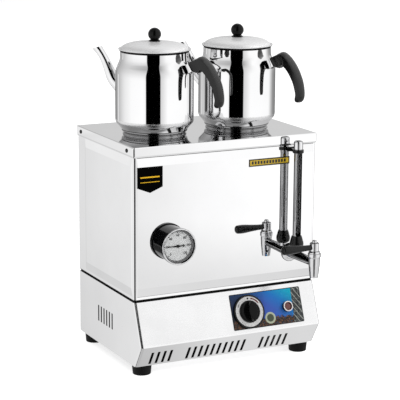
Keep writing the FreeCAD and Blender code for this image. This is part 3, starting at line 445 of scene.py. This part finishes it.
def floor_look(net):
    """Pale and matt, and bright to the camera, so that only the object's soft shadow shows on it."""
    diffuse = net.node("BsdfDiffuse")
    net.link(net.mix(net.noise(2.0), grey(0.86), grey(0.9)), diffuse.inputs["Color"])
    glow = net.node("Emission")
    glow_strength = net.remap(net.node("LightPath").outputs["Is Camera Ray"], 0, 1, 0, 0.72)
    net.link(glow_strength, glow.inputs["Strength"])
    both = net.node("AddShader")
    net.link(diffuse.outputs[0], both.inputs[0])
    net.link(glow.outputs[0], both.inputs[1])
    return both.outputs[0]


def make_floor(half=8.0):
    """Square floor, in metres, that reaches past the picture and doesn't show in the steel."""
    corners = [(-half, -half, 0), (half, -half, 0), (half, half, 0), (-half, half, 0)]
    mesh = bpy.data.meshes.new("floor")
    mesh.from_pydata(corners, [], [(0, 1, 2, 3)])
    mesh.materials.append(material("floor", floor_look))
    floor = bpy.data.objects.new("floor", mesh)
    link_object(floor)
    floor.visible_glossy = False


# Materials of the object

POLISHED = dict(colour=(0.90, 0.90, 0.905), rough=0.022, waviness=0.01)
CHROME = dict(colour=(0.80, 0.80, 0.81), rough=0.03, rim=0.05)
BLACK = dict(colour=grey(0.006), rough=0.16, grain=0.05, sheen=0.3)

# Reach of the sheet's bends from a corner, and how far the cover stands out over the casing
BASE_BEND, CASING_BEND, COVER_BEND = 7.0, 5.5, 4.5
COVER_OVER = 2.0
# The ground part of the base's leaning front, across it and up its slope
GROUND_X, GROUND_Y = (-222, 222), (-98, 2)
# Painted shade lines on the casing at the top and foot of its pressed front field, and how high the painted
# shade by the seam goes
FIELD_X, FIELD_TOP_LINE, FIELD_FOOT_LINE = (-221.0, 221.0), (494.6, 496.0), (182.7, 183.3)
SEAM_DARK = 6.4
# How far under the outer faces of the base its inside, which gets painted shade, begins, and how near a face
# a point counts as on it
SKIN = 0.1
ON_FACE = (0.5, 0.6)
# Half the width of the painted shade lines at the bends, and how far back from the front the base's line
# goes
CREASE_HALF_W, UPPER_CREASE, LOWER_CREASE = 1.5, (-1.7, 1.3), (-0.7, 0.7)
CREASE_DEPTH = 8.0

# Vent slots: their pitch, half the width that gets painted shade, each row's first place and count, and the
# rows' span
VENT_PITCH, VENT_REACH = 15.5, 3.3
TOE_VENTS, TOE_VENT_SPAN = ((-195.0, 4), (-104.0, 10), (82.0, 5)), (18.3, 56.1)
SIDE_VENTS, SIDE_VENT_SPAN = (-36.0, 6), (77.1, 114.9)

# Where pieces change their finish, and where painted shade begins, each in its own local frame
BEZEL_LIP_Z = 31.4
SILVER_R, SILVER_Z = (25.6, 34.6), 5.0
LAMP_FRONT_Z = 8.55
ESCUTCHEON_EDGE_R = 20.6
POT_CONE_TOP, POT_SATIN_BEND, POT_FOOT_TOP = (30.6, 32.0), (26.0, 35.4), (12.2, 12.8)
POT_GROOVES = ((10.9, 12.6), (4.0, 5.4))
# Edges of the painted shade under the lid's lip and round its seat on the pot
LIP_TOP_Z, LIP_FOOT_Z, LIP_FOOT_R, LIP_FLARE = 191.3, 188.4, 77.6, 1.15
LID_SEAT = (186.0, 188.45)


def bezel_look(net):
    """Enamelled side with a bright rolled lip."""
    _, _, z = net.local(DIAL_FRAME)
    side = plastic(net, (0.006, 0.006, 0.007), 0.14, sheen=0.4)
    return net.shade(net.step(z, BEZEL_LIP_Z, 0.2), side, metal(net, **CHROME))


def scale_ring_look(net):
    """Silver printed ring on a black dish."""
    x, y, z = net.local(KNOB_FRAME)
    printed = net.times(net.within(net.radius(x, y), *SILVER_R, 0.2), net.step(z, SILVER_Z, 0.2))
    silver = plastic(net, (0.70, 0.695, 0.69), 0.35, mottle=0.14)
    return net.shade(printed, plastic(net, **BLACK), silver)


def slot_row(net, along, first, count):
    """Row of slots with painted shade, each a little wider than it is cut, so that its edges are dark."""
    off = net.math("PINGPONG", net.minus(along, first), VENT_PITCH / 2)
    row = net.within(along, first - VENT_REACH, first + (count - 1) * VENT_PITCH + VENT_REACH)
    return net.times(row, net.fall(off, VENT_REACH - 0.2, VENT_REACH))


def base_look(net):
    """Polished steel with a finely ground leaning front, and painted shade inside, in lines at its bends and
    round its vents.
    """
    x, y, out = net.local(on_slope(0.0, 0.0))
    ground = net.times(net.within(x, *GROUND_X, 4), net.within(y, *GROUND_Y, 3), net.step(out, -0.6, 0.4))
    outside = net.shade(ground, metal(net, **POLISHED), metal(net, POLISHED["colour"], 0.24, brushed=0.05))
    across, deep, high = net.local(CASING_FRAME)
    # How far a point is inside the face below the knee, and how far down that face it is
    toe_run = Vector((KNEE_OUT - TOE_OUT, KNEE_Z - FOOT_H)).normalized()
    toe = net.plus(net.times(net.plus(deep, HALF_D + TOE_OUT), toe_run.y),
                   net.times(net.minus(high, FOOT_H), toe_run.x))
    down = net.plus(net.times(net.plus(deep, HALF_D + KNEE_OUT), toe_run.x),
                    net.times(net.minus(KNEE_Z, high), toe_run.y))
    aside = net.minus(HALF_W, net.math("ABSOLUTE", across))
    inner = net.times(net.within(across, SKIN - HALF_W, HALF_W - SKIN, 0.04),
                      net.minus(1.0, net.step(deep, HALF_D - SKIN, 0.04)),
                      net.minus(1.0, net.step(out, -SKIN, 0.04)), net.step(toe, SKIN, 0.04))
    faces = net.largest(net.step(out, -BASE_BEND), net.fall(toe, BASE_BEND - 0.1, BASE_BEND),
                        net.step(deep, HALF_D - BASE_BEND))
    bends = net.times(faces, net.fall(aside, BASE_BEND - 0.1, BASE_BEND))
    upper = net.within(net.plus(aside, out), *UPPER_CREASE, 0.3)
    lower = net.within(net.minus(aside, toe), *LOWER_CREASE, 0.3)
    crease = net.times(net.mix(net.step(high, KNEE_Z, 1.0), lower, upper), bends,
                       net.math("LESS_THAN", deep, CREASE_DEPTH - HALF_D))
    # Painted shade: the inside of the shell, lines along its front bends and the edges of its vent slots
    dark = net.largest(net.times(inner, net.minus(1.0, bends)), crease)
    on_toe = net.times(net.fall(toe, *ON_FACE), net.within(down, *TOE_VENT_SPAN, 0.3))
    for first, count in TOE_VENTS:
        dark = net.largest(dark, net.times(on_toe, slot_row(net, across, first, count)))
    on_side = net.times(net.fall(aside, *ON_FACE), net.within(high, *SIDE_VENT_SPAN, 0.3))
    dark = net.largest(dark, net.times(on_side, slot_row(net, deep, *SIDE_VENTS)))
    return net.shade(dark, outside, dark_paint(net, 0.008, 0.6))


def crease_line(net, x, y, half_w, half_d, radius):
    """Painted shade line along the bends at the two front corners of a box of sheet."""
    aside = net.minus(half_w, net.math("ABSOLUTE", x))
    behind = net.plus(y, half_d)
    near = net.math("LESS_THAN", net.largest(aside, behind), radius)
    return net.times(near, net.within(net.minus(aside, behind), -CREASE_HALF_W, CREASE_HALF_W, 0.3))


def cover_look(net):
    """Polished steel with a painted shade line along its front bends."""
    x, y, z = net.local(CASING_FRAME)
    line = crease_line(net, x, y, HALF_W + COVER_OVER, HALF_D + COVER_OVER, COVER_BEND)
    line = net.times(line, net.fall(z, TOP_Z - 3.0, TOP_Z - 2.0))
    return net.shade(line, metal(net, **POLISHED), dark_paint(net, 0.02, 0.4))


def casing_look(net):
    """Polished steel with painted shade at its lower edge by the seam and in lines along its bends and at
    the top and foot of its pressed field.
    """
    x, y, z = net.local(CASING_FRAME)
    pressed = net.largest(net.within(z, *FIELD_TOP_LINE, 0.2), net.within(z, *FIELD_FOOT_LINE, 0.2))
    on_wall = net.math("LESS_THAN", y, 0.4 - HALF_D)
    pressed = net.times(pressed, on_wall, net.within(x, *FIELD_X, 0.5))
    seam = net.fall(z, SEAM_Z + SEAM_DARK - 0.1, SEAM_Z + SEAM_DARK + 0.1)
    # Painted shade: the seam's lower edge, the bends and the pressed field's edges
    dark = net.largest(pressed, crease_line(net, x, y, HALF_W, HALF_D, CASING_BEND), seam)
    return net.shade(dark, metal(net, **POLISHED), dark_paint(net, 0.008, 0.4))


def escutcheon_look(net):
    """Chrome with a dark line round its edge."""
    x, y, _ = net.local(TAP_FRAME)
    edge = net.step(net.radius(x, y), ESCUTCHEON_EDGE_R, 0.2)
    return net.shade(edge, metal(net, **CHROME), dark_paint(net, 0.02, 0.3))


def pot_look(net, place):
    """Mirror polish, satin at the lower bend, with painted shade that darkens the spun cone and the grooved
    foot, darkest in each groove.
    """
    _, _, z = net.local(place)
    cone = metal(net, (0.70, 0.70, 0.705), 0.05)
    bend = metal(net, (0.80, 0.80, 0.805), 0.24)
    foot = metal(net, (0.38, 0.38, 0.385), 0.08)
    # Painted shade: darker colour on the cone, on the foot and in each groove
    wall = net.shade(net.fall(z, *POT_CONE_TOP), metal(net, **POLISHED), cone)
    wall = net.shade(net.within(z, *POT_SATIN_BEND, 0.6), wall, bend)
    wall = net.shade(net.fall(z, *POT_FOOT_TOP), wall, foot)
    groove_shade = net.largest(*(net.within(z, *groove, 0.2) for groove in POT_GROOVES))
    return net.shade(groove_shade, wall, metal(net, grey(0.10), 0.2))


def lid_look(net, place):
    """Satin finish that scatters part of the light, with painted shade under the lip and round the seat
    where the lid meets the pot.
    """
    scattered = plastic(net, (0.88, 0.88, 0.885), 0.35, grain=0.02, mottle=0.03)
    satin = net.shade(0.7, metal(net, (0.94, 0.94, 0.945), 0.32), scattered)
    x, y, z = net.local(place)
    lip_edge = net.plus(LIP_FOOT_R, net.times(net.minus(z, LIP_FOOT_Z), LIP_FLARE))
    under_lip_shade = net.times(net.math("GREATER_THAN", net.radius(x, y), lip_edge),
                          net.fall(z, LIP_TOP_Z - 0.1, LIP_TOP_Z + 0.1))
    # Painted shade under the lip and round the lid's seat
    dark = net.largest(under_lip_shade, net.within(z, *LID_SEAT, 0.02))
    return net.shade(dark, satin, dark_paint(net, 0.006, 0.5))


def grip_look(net):
    """Black moulding, rougher on the faces that look up, which painted light makes paler."""
    normal = net.node("SeparateXYZ")
    net.link(net.node("TexCoord").outputs["Normal"], normal.inputs[0])
    glossy = plastic(net, grey(0.004), 0.12, grain=0.03, sheen=0.40)
    painted_top_light = plastic(net, grey(0.03), 0.25, grain=0.03, sheen=0.62)
    # Painted light: faces that look up are a lit, paler copy of the glossy black
    return net.shade(net.rise(normal.outputs["Z"], 0.0, 0.8), glossy, painted_top_light)


def lamp_look(net):
    """Pale front ring on a black shell."""
    _, _, z = net.local(LAMP_FRAME)
    front = plastic(net, (0.80, 0.77, 0.76), 0.3, mottle=0.05)
    return net.shade(net.step(z, LAMP_FRONT_Z), plastic(net, **BLACK), front)


# Width of the print's border, its roundel's middle and the edges of that one's rim and inside, and how far
# across the print, as a part of its width, its striped edge begins
PRINT_BORDER = 1.6
ROUNDEL, ROUNDEL_RIM, ROUNDEL_INSIDE = (96.5, 18.5), (13.0, 13.6), (8.6, 9.2)
STRIPES_FROM = 0.872


def print_look(net):
    """Printed sheet: blue turning cyan to the right, a dark left, a speckled foot and a striped edge."""
    x, y, _ = net.local(PRINT_FRAME)
    u, v = net.math("DIVIDE", x, PRINT_W), net.math("DIVIDE", y, PRINT_H)
    cyan = net.plus(net.remap(u, 0.45, 0.86, 0, 0.75), net.remap(v, 0.45, 1.0, -0.25, 0.35))
    blues = ((0.0, (0.040, 0.095, 0.42)), (0.45, (0.010, 0.16, 0.50)), (1.0, (0.0, 0.36, 0.50)))
    art = net.ramp(cyan, blues)
    dusk = net.times(net.fall(u, 0.16, 0.50), net.remap(v, 0.35, 1.05, 1, 0.8))
    art = net.mix(dusk, art, (0.006, 0.010, 0.018))
    flecks = net.noise(420.0, detail=2.0, rough=0.6)
    patches = net.noise(150.0, detail=2.0, rough=0.6)
    brown = net.mix(net.step(flecks, 0.58, 0.06), (0.018, 0.012, 0.010), (0.25, 0.11, 0.05))
    brown = net.mix(net.step(patches, 0.62, 0.05), brown, (0.03, 0.05, 0.08))
    foot = net.plus(v, net.remap(patches, 0.3, 0.7, -0.05, 0.05))
    art = net.mix(net.fall(foot, 0.20, 0.27), art, brown)
    stripes = net.math("SINE", net.plus(net.times(u, 95.0), net.times(v, 30.0)))
    striped = net.mix(net.step(flecks, 0.56, 0.06), (0.018, 0.022, 0.025), (0.15, 0.16, 0.15))
    striped = net.mix(net.step(stripes, 0.93, 0.1), striped, (0.42, 0.44, 0.40))
    leaning = net.plus(u, net.remap(v, 0, 1, 0.012, 0.0))
    art = net.mix(net.step(leaning, STRIPES_FROM, 0.01), art, striped)
    roundel = net.radius(net.minus(x, ROUNDEL[0]), net.minus(y, ROUNDEL[1]))
    art = net.mix(net.fall(roundel, *ROUNDEL_RIM), art, (0.42, 0.46, 0.34))
    art = net.mix(net.fall(roundel, *ROUNDEL_INSIDE), art, (0.06, 0.075, 0.05))
    inside = net.times(net.within(x, PRINT_BORDER, PRINT_W - PRINT_BORDER, 0.3),
                       net.within(y, PRINT_BORDER, PRINT_H - PRINT_BORDER, 0.3))
    art = net.mix(inside, (0.008, 0.010, 0.012), art)
    return plastic(net, art, 0.25, mottle=0.06, grain=0.02, sheen=0.25)


# Heights of the plate's rules, and how far they reach across it
RULES, RULE_X = ((33.6, 36.6), (23.4, 24.8)), (-23.0, 23.0)


def shield_look(net):
    """Black plate with two thin gilt rules."""
    x, y, _ = net.local(SHIELD_FRAME)
    rules = net.largest(*(net.within(y, *rule, 0.2) for rule in RULES))
    rules = net.times(rules, net.within(x, *RULE_X, 0.2))
    ink = net.mix(rules, grey(0.001), (0.85, 0.50, 0.03))
    return plastic(net, ink, 0.6, mottle=0.1, grain=0.02, sheen=0.02)


# Inner edges of the label's border, and the field and pitch of its dashes
LABEL_INSIDE_X, LABEL_INSIDE_Y = (2.8, 101.2), (2.8, 14.1)
DASH_X, DASH_Y, DASH_PITCH = (7.0, 97.0), (4.9, 12.0), 7.5


def label_look(net):
    """Yellow strip with a dark border and a row of dark dashes."""
    x, y, _ = net.local(LABEL_FRAME)
    inside = net.times(net.within(x, *LABEL_INSIDE_X, 0.3), net.within(y, *LABEL_INSIDE_Y, 0.3))
    gaps = net.math("SINE", net.times(x, 2 * math.pi / DASH_PITCH))
    dashes = net.times(net.within(y, *DASH_Y, 0.3), net.within(x, *DASH_X, 0.2),
                       net.step(gaps, -0.5, 0.3))
    yellow = net.times(inside, net.minus(1.0, dashes))
    ink = net.mix(yellow, (0.02, 0.016, 0.008), (0.62, 0.42, 0.02))
    return plastic(net, ink, 0.3, mottle=0.06, grain=0.02)


def glass_look(net):
    """Thin clear glass: sees straight through, with a gloss that grows towards grazing."""
    rough, body = 0.02, 0.02
    shader = net.node("BsdfPrincipled")
    shader.inputs["Base Color"].default_value = (0.95, 0.97, 0.97, 1)
    shader.inputs["IOR"].default_value = 1.45
    shader.inputs["Alpha"].default_value = body
    net.link(net.remap(net.noise(30.0), 0.3, 0.7, rough, rough * 2.5), shader.inputs["Roughness"])
    edge = net.node("LayerWeight")
    edge.inputs["Blend"].default_value = 0.12
    gloss = net.node("BsdfGlossy")
    gloss.inputs["Roughness"].default_value = rough
    window = net.shade(edge.outputs["Fresnel"], net.node("BsdfTransparent").outputs[0], gloss.outputs[0])
    return net.shade(body, window, shader.outputs[0])


METALS = {
    "polished_steel": POLISHED,
    "chrome": CHROME,
    # Chrome darkened all over, used on the gauge guard
    "darkened_chrome": dict(colour=(0.38, 0.38, 0.385), rough=0.05, rim=0.05),
    "plain_steel": dict(colour=(0.62, 0.62, 0.63), rough=0.25, brushed=0.3),
    "zinc": dict(colour=grey(0.66), rough=0.3, brushed=0.2),
    "heater_sheath": dict(colour=(0.42, 0.40, 0.38), rough=0.42, brushed=0.2),
    "brass": dict(colour=(0.80, 0.62, 0.32), rough=0.22),
    "copper": dict(colour=(0.80, 0.45, 0.30), rough=0.25),
    "dark_screws": dict(colour=grey(0.05), rough=0.25),
}
PLASTICS = {
    "foot_rubber": dict(colour=grey(0.006), rough=0.6, grain=0.4, grain_scale=500, sheen=0.16),
    "seal": dict(colour=grey(0.004), rough=0.6, grain=0.3, sheen=0.1),
    "black_plastic": BLACK,
    "knob_black": dict(colour=grey(0.004), rough=0.13, grain=0.03, sheen=0.13),
    "knob_bakelite": dict(colour=grey(0.003), rough=0.10, grain=0.02, sheen=0.2),
    "case_enamel": dict(colour=(0.006, 0.006, 0.007), rough=0.10, grain=0.02, sheen=0.4),
    "white_plastic": dict(colour=(0.8, 0.79, 0.75), rough=0.4, mottle=0.05),
    "red_lens": dict(colour=(0.13, 0.030, 0.028), rough=0.15, grain=0.02, coat=0.3),
    "dial_white": dict(colour=(0.80, 0.81, 0.81), rough=0.4, mottle=0.04, grain=0.02),
    "pointer_black": dict(colour=grey(0.008), rough=0.4, sheen=0.2),
    "dial_ring_grey": dict(colour=(0.20, 0.20, 0.205), rough=0.3, mottle=0.1, grain=0.02),
    "dial_ink": dict(colour=grey(0.006), rough=0.5, sheen=0.1),
    "red_ink": dict(colour=(0.16, 0.03, 0.03), rough=0.5, sheen=0.1),
}
OTHER_LOOKS = {
    "clear_glass": glass_look,
    "bakelite": grip_look,
    "lamp_body": lamp_look,
    "panel_print": print_look,
    "scale_ring": scale_ring_look,
    "shield_plate": shield_look,
    "level_label": label_look,
    "casing_steel": casing_look,
    "cover_steel": cover_look,
    "escutcheon_chrome": escutcheon_look,
    "base_steel": base_look,
    "bezel": bezel_look,
}

# The material of each slot of the record, and of the nodes that have one of their own
BY_SLOT = {
    "polished_steel": "polished_steel", "plain_steel": "plain_steel", "chrome_fittings": "chrome",
    "zinc_screws": "zinc", "heater_sheath": "heater_sheath", "brass_nuts": "brass", "copper_tube": "copper",
    "black_rubber": "foot_rubber", "black_seal": "seal", "black_plastic": "black_plastic",
    "black_case": "case_enamel", "black_bakelite": "bakelite", "black_paint": "pointer_black",
    "white_plastic": "white_plastic", "pale_plastic": "lamp_body", "red_lens": "red_lens",
    "white_dial": "dial_white", "clear_glass": "clear_glass", "silver_scale": "scale_ring",
    "printed_panel": "panel_print", "black_plate": "shield_plate", "yellow_label": "level_label",
}
BY_NODE = {
    "gauge_guard": "darkened_chrome", "cover_screws": "dark_screws", "casing_wrapper": "casing_steel",
    "top_cover": "cover_steel", "tap_escutcheon": "escutcheon_chrome", "thermostat_knob": "knob_black",
    "base_shell": "base_steel", "thermometer_bezel": "bezel",
}


def make_materials():
    """Materials by name."""
    made = {name: material(name, look) for name, look in OTHER_LOOKS.items()}
    for name, look in METALS.items():
        made[name] = material(name, lambda net: metal(net, **look))
    for name, look in PLASTICS.items():
        made[name] = material(name, lambda net: plastic(net, **look))
    return made


MATERIALS = make_materials()


# Pieces

CREASE = 28.0
SPUN_CREASE = 40.0


def smooth(mesh, crease):
    """Smooth shading, with sharp edges where faces meet at more than the crease's degrees."""
    mesh.polygons.foreach_set("use_smooth", [True] * len(mesh.polygons))
    mesh.set_sharp_from_angle(angle=math.radians(crease))


def dress_nodes():
    """Material and smooth shading for every piece that comes with the frame."""
    for row in frame["record"]["subparts"]:
        piece = NODES[row["node"]]
        name = BY_NODE.get(row["node"], BY_SLOT[row["material_slot"]])
        piece.data.materials.clear()
        piece.data.materials.append(MATERIALS[name])
        smooth(piece.data, CREASE)
        weighted = piece.modifiers.new("even_normals", "WEIGHTED_NORMAL")
        weighted.keep_sharp = True


def on_circle(radius, degrees):
    """Point (x, y) on a circle about the origin."""
    a = math.radians(degrees)
    return (radius * math.cos(a), radius * math.sin(a))


class Shape:
    """Mesh gathered from simple solids, in millimetres of a local frame."""

    def __init__(self):
        self.verts, self.faces = [], []

    def slab(self, outline, low, high):
        """Flat plate between two heights."""
        n = len(outline)
        bottom = [len(self.verts) + i for i in range(n)]
        top = [i + n for i in bottom]
        self.verts += [(x, y, z) for z in (low, high) for x, y in outline]
        self.faces += [bottom[::-1], top]
        self.faces += [(a, b, b + n, a + n) for a, b in zip(bottom, bottom[1:] + bottom[:1])]

    def tick(self, degrees, inner, outer, width, low, high):
        """Straight mark between two radii."""
        middle = on_circle((inner + outer) / 2, degrees)
        ahead = on_circle((outer - inner) / 2, degrees)
        aside = on_circle(width / 2, degrees + 90)
        corners = ((-1, -1), (1, -1), (1, 1), (-1, 1))
        outline = [[m + i * u + j * v for m, u, v in zip(middle, ahead, aside)] for i, j in corners]
        self.slab(outline, low, high)

    def arc(self, start, end, inner, outer, low, high):
        """Part of a flat ring, in steps of about 4 degrees."""
        count = max(2, round(abs(end - start) / 4))
        turns = [start + (end - start) * i / count for i in range(count + 1)]
        back = [on_circle(inner, turn) for turn in reversed(turns)]
        ahead = [on_circle(outer, turn) for turn in turns]
        self.slab(back + ahead, low, high)

    def revolve(self, profile, count=96):
        """Closed ring turned about local z from (r, z) corners."""
        first, n = len(self.verts), len(profile)
        for i in range(count):
            a = 2 * math.pi * i / count
            self.verts += [(r * math.cos(a), r * math.sin(a), z) for r, z in profile]
        for i in range(count):
            a, b = first + i * n, first + (i + 1) % count * n
            self.faces += [(a + j, a + (j + 1) % n, b + (j + 1) % n, b + j) for j in range(n)]

    def number(self, text, middle, height, low, high):
        """Raised digits, centred on a point."""
        curve = bpy.data.curves.new("number", "FONT")
        curve.body, curve.size = text, height * 1.38
        curve.align_x, curve.align_y = "CENTER", "CENTER"
        curve.extrude, curve.offset, curve.resolution_u = (high - low) / 2, 0.2, 3
        holder = bpy.data.objects.new("number", curve)
        link_object(holder)
        bpy.context.view_layer.update()
        mesh = bpy.data.meshes.new_from_object(holder.evaluated_get(bpy.context.evaluated_depsgraph_get()))
        first = len(self.verts)
        x, y, z = *middle, (low + high) / 2
        self.verts += [(v.co.x + x, v.co.y + y, v.co.z + z) for v in mesh.vertices]
        self.faces += [[first + i for i in p.vertices] for p in mesh.polygons]
        bpy.data.objects.remove(holder)

    def build(self, name, body, place, finish, slot, crease=CREASE):
        """Object on a body, from the gathered mesh set in its local frame."""
        mesh = bpy.data.meshes.new(name)
        mesh.from_pydata([place @ Vector(v) for v in self.verts], [], self.faces)
        mesh.validate()
        smooth(mesh, crease)
        mesh.materials.append(finish)
        made = bpy.data.objects.new(name, mesh)
        link_object(made)
        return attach(made, body)


# Teapots, as (r, z) in millimetres from the top cover up

POT_FOOT = [(68.8, 3), (70.6, 0.05), (71.9, 0.05), (72.4, 0.7), (72.2, 1.7), (71.2, 2.7), (70.3, 3.7),
            (70.0, 4.9), (70.4, 6.0), (71.4, 6.9), (72.8, 7.5), (74.0, 8.2), (74.7, 9.2), (74.7, 10.3),
            (74.3, 11.1), (74.6, 12.1)]
POT_BEND_MIDDLE, POT_BEND_R, POT_BEND_DEGREES = (74.8, 33.8), 14, 40.7
POT_WALL = [(88.8, 35.5), (88.8, 130.5)]
POT_SHOULDER = [(88.8, 132), (88.5, 138.5), (87.3, 145.5), (84.9, 152.6), (82, 159), (79.6, 164.6),
                (78.1, 170.2), (77.5, 177)]
POT_RIM = [(77.5, 186.2), (76.5, 186.2)]
POT_INSIDE = [(87.8, 33.8), (84.4, 24.8), (73.2, 12.0), (71, 9.4)]
POT_BOTTOM = [(0.02, 9.4), (0.02, 8.0), (68.8, 8.0)]
SHEET = 1

LID_R, LID_Z, LID_RISE, LID_POWER = 76.5, 190, 19.3, 2.45
LID_DEGREES = (8, 16, 24, 32, 40, 47, 54, 60, 65, 70, 74, 78, 81, 84, 86, 88, 89.2)
LID_LIP = [(76.6, 189.7), (77.6, 189.6), (79.4, 190.6), (80.7, 192.4), (81.2, 193.2), (81.6, 193.1),
           (81.6, 192.7), (80.9, 191.0), (80.0, 189.6), (78.0, 188.5), (77.2, 188.3), (77.2, 186.5)]
LID_COLLAR = [(74.9, 186.5), (74.9, 178), (73.9, 178), (73.9, 190)]
LID_INSIDE_FROM = 195

# Ball of the knob, and its foot with heights above the lid under it
KNOB_R, KNOB_Z = 14.7, 225
KNOB_FOOT = [(13.5, 0.7), (12.6, 1.6), (11.0, 2.6), (9.7, 3.8), (9.1, 5.0)]
KNOB_NECK = [(9.0, 212.6), (9.4, 213.6)]
KNOB_BORE = [(0.05, 239.7), (0.05, 222), (2.1, 222)]


def spline(points, parts):
    """Points with smooth ones put in between, on a curve through them."""
    padded = [points[0], *points, points[-1]]
    made = []
    for a, b, c, d in zip(padded, padded[1:], padded[2:], padded[3:]):
        for i in range(parts):
            t = i / parts
            made.append(tuple(0.5 * (2 * q + (r - p) * t + (2 * p - 5 * q + 4 * r - s) * t * t
                                     + (3 * q - p - 3 * r + s) * t ** 3) for p, q, r, s in zip(a, b, c, d)))
    return [*made, points[-1]]


def pot_profile():
    """Closed line from the foot up over the rim and down inside to the bottom."""
    middle_r, middle_z = POT_BEND_MIDDLE
    turns = [POT_BEND_DEGREES * (1 - i / 10) for i in range(11)]
    bend = [(middle_r + r, middle_z - z) for r, z in (on_circle(POT_BEND_R, turn) for turn in turns)]
    shoulder = spline(POT_SHOULDER, 6)
    inner_shoulder = [(r - SHEET, z) for r, z in reversed(shoulder)]
    return [*POT_FOOT, *bend, *POT_WALL, *shoulder, *POT_RIM, *inner_shoulder, *POT_INSIDE, *POT_BOTTOM]


def dome(r):
    """Height of the lid's dome at a radius."""
    return LID_Z + LID_RISE * max(1 - (r / LID_R) ** LID_POWER, 0) ** (1 / LID_POWER)


def lid_profile():
    """Closed line from the knob's hole out to the lip, down the collar and back under the dome."""
    radii = [LID_R * math.sin(math.radians(a)) for a in LID_DEGREES]
    top = [(r, dome(r)) for r in radii]
    under = [(r - SHEET, z - SHEET) for r, z in reversed(top) if z > LID_INSIDE_FROM]
    return [(2.05, 209.3), *top, *LID_LIP, *LID_COLLAR, *under, (2.05, 208.3)]


def knob_profile():
    """Closed line from the screw's hole out over the foot and the neck, round the ball and down the bore."""
    foot_z = dome(KNOB_FOOT[0][0])
    foot = [(r, foot_z + z) for r, z in KNOB_FOOT]
    ball = [(r, KNOB_Z + z) for r, z in (on_circle(KNOB_R, degrees) for degrees in range(-46, 90, 6))]
    return [(2.1, dome(2)), (13.2, foot_z), *foot, *KNOB_NECK, *ball, *KNOB_BORE]


def spin(profile, count, name, body, place, finish, slot):
    """Turned piece, fine enough for a mirror polish."""
    shape = Shape()
    shape.revolve(profile, count)
    return shape.build(name, body, place, finish, slot, SPUN_CREASE)


def add_pots():
    """Both pots, in place of those of the frame."""
    for side in POTS:
        place = pot_frame(side)
        body = "teapot_" + side
        polish = material(side + "_pot_polish", lambda net: pot_look(net, place))
        made = spin(pot_profile(), 256, side + "_pot_shell", body, place, polish, "polished_steel")
        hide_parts(side + "_pot_body")


def add_lids():
    """Both lids with their knobs, in place of those of the frame."""
    for side in POTS:
        place = pot_frame(side)
        body = "lid_" + side
        satin = material(side + "_satin_lid", lambda net: lid_look(net, place))
        made = spin(lid_profile(), 192, side + "_lid_shell", body, place, satin, "polished_steel")
        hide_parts(side + "_lid")
        black = MATERIALS["knob_bakelite"]
        made = spin(knob_profile(), 96, side + "_knob_ball", body, place, black, "black_bakelite")
        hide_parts(side + "_lid_knob")


# Printed scales: the azimuth of zero on the dial and its turn for one degree of heat, the bottom and top of
# the print, and ticks as (inner radius, width)
DIAL_ZERO, DIAL_TURN = 225.0, -2.25
DIAL_PRINT = (24.22, 24.3)
FINE_TICK, TEN_TICK, TWENTY_TICK, TICK_END = (31.4, 0.4), (29.8, 1.0), (28.8, 1.4), 32.6
NUMBER_R, NUMBER_HEIGHT = 24.4, 5.6
DIAL_RING = [(37.1, 24.3), (37.1, 28.9), (36.7, 28.9), (33.0, 24.35)]
RING_PRINT = (5.5, 5.58)


def add_dial_marks():
    """Scale of the thermometer, with a tick every 2 degrees and a number every 20, and the ring round it."""
    marks = Shape()
    for value in range(0, 122, 2):
        turn = DIAL_ZERO + value * DIAL_TURN
        inner, width = FINE_TICK if value % 10 else TEN_TICK if value % 20 else TWENTY_TICK
        marks.tick(turn, inner, TICK_END, width, *DIAL_PRINT)
        if value % 20 == 0:
            marks.number(str(value), on_circle(NUMBER_R, turn), NUMBER_HEIGHT, *DIAL_PRINT)
    marks.build("thermometer_scale_marks", "urn", DIAL_FRAME, MATERIALS["dial_ink"], "black_paint")
    ring = Shape()
    ring.revolve(DIAL_RING)
    ring.build("thermometer_inner_ring", "urn", DIAL_FRAME, MATERIALS["dial_ring_grey"], "white_dial")


def add_ring_marks():
    """Marks of the thermostat's scale: a dot at rest, a short arc, ticks and a red arc for the heating."""
    marks = Shape()
    dot_radius, dot_place = 2.1, 30.2
    dot = [on_circle(dot_radius, i * 22.5) for i in range(16)]
    marks.slab([(x, dot_place + y) for x, y in dot], *RING_PRINT)
    marks.arc(140, 156, 29.4, 31.0, *RING_PRINT)
    for turn in range(-225, 60, 15):
        marks.tick(turn, 31.4 if turn % 45 else 29.8, 33.4, 0.5, *RING_PRINT)
    marks.build("thermostat_scale_marks", "urn", KNOB_FRAME, MATERIALS["dial_ink"], "black_paint")
    heat = Shape()
    heat.arc(34, 76, 29.2, 32.0, *RING_PRINT)
    heat.build("thermostat_heat_arc", "urn", KNOB_FRAME, MATERIALS["red_ink"], "red_lens")


make_camera()
make_world()
add_lamp("key", (-2.2, -3.0, 3.2), power=36)
add_lamp("fill", (2.8, -2.0, 2.4), power=70)
make_floor()
dress_nodes()
add_pots()
add_lids()
add_dial_marks()
add_ring_marks()

bpy.context.scene.view_settings.view_transform = "Standard"
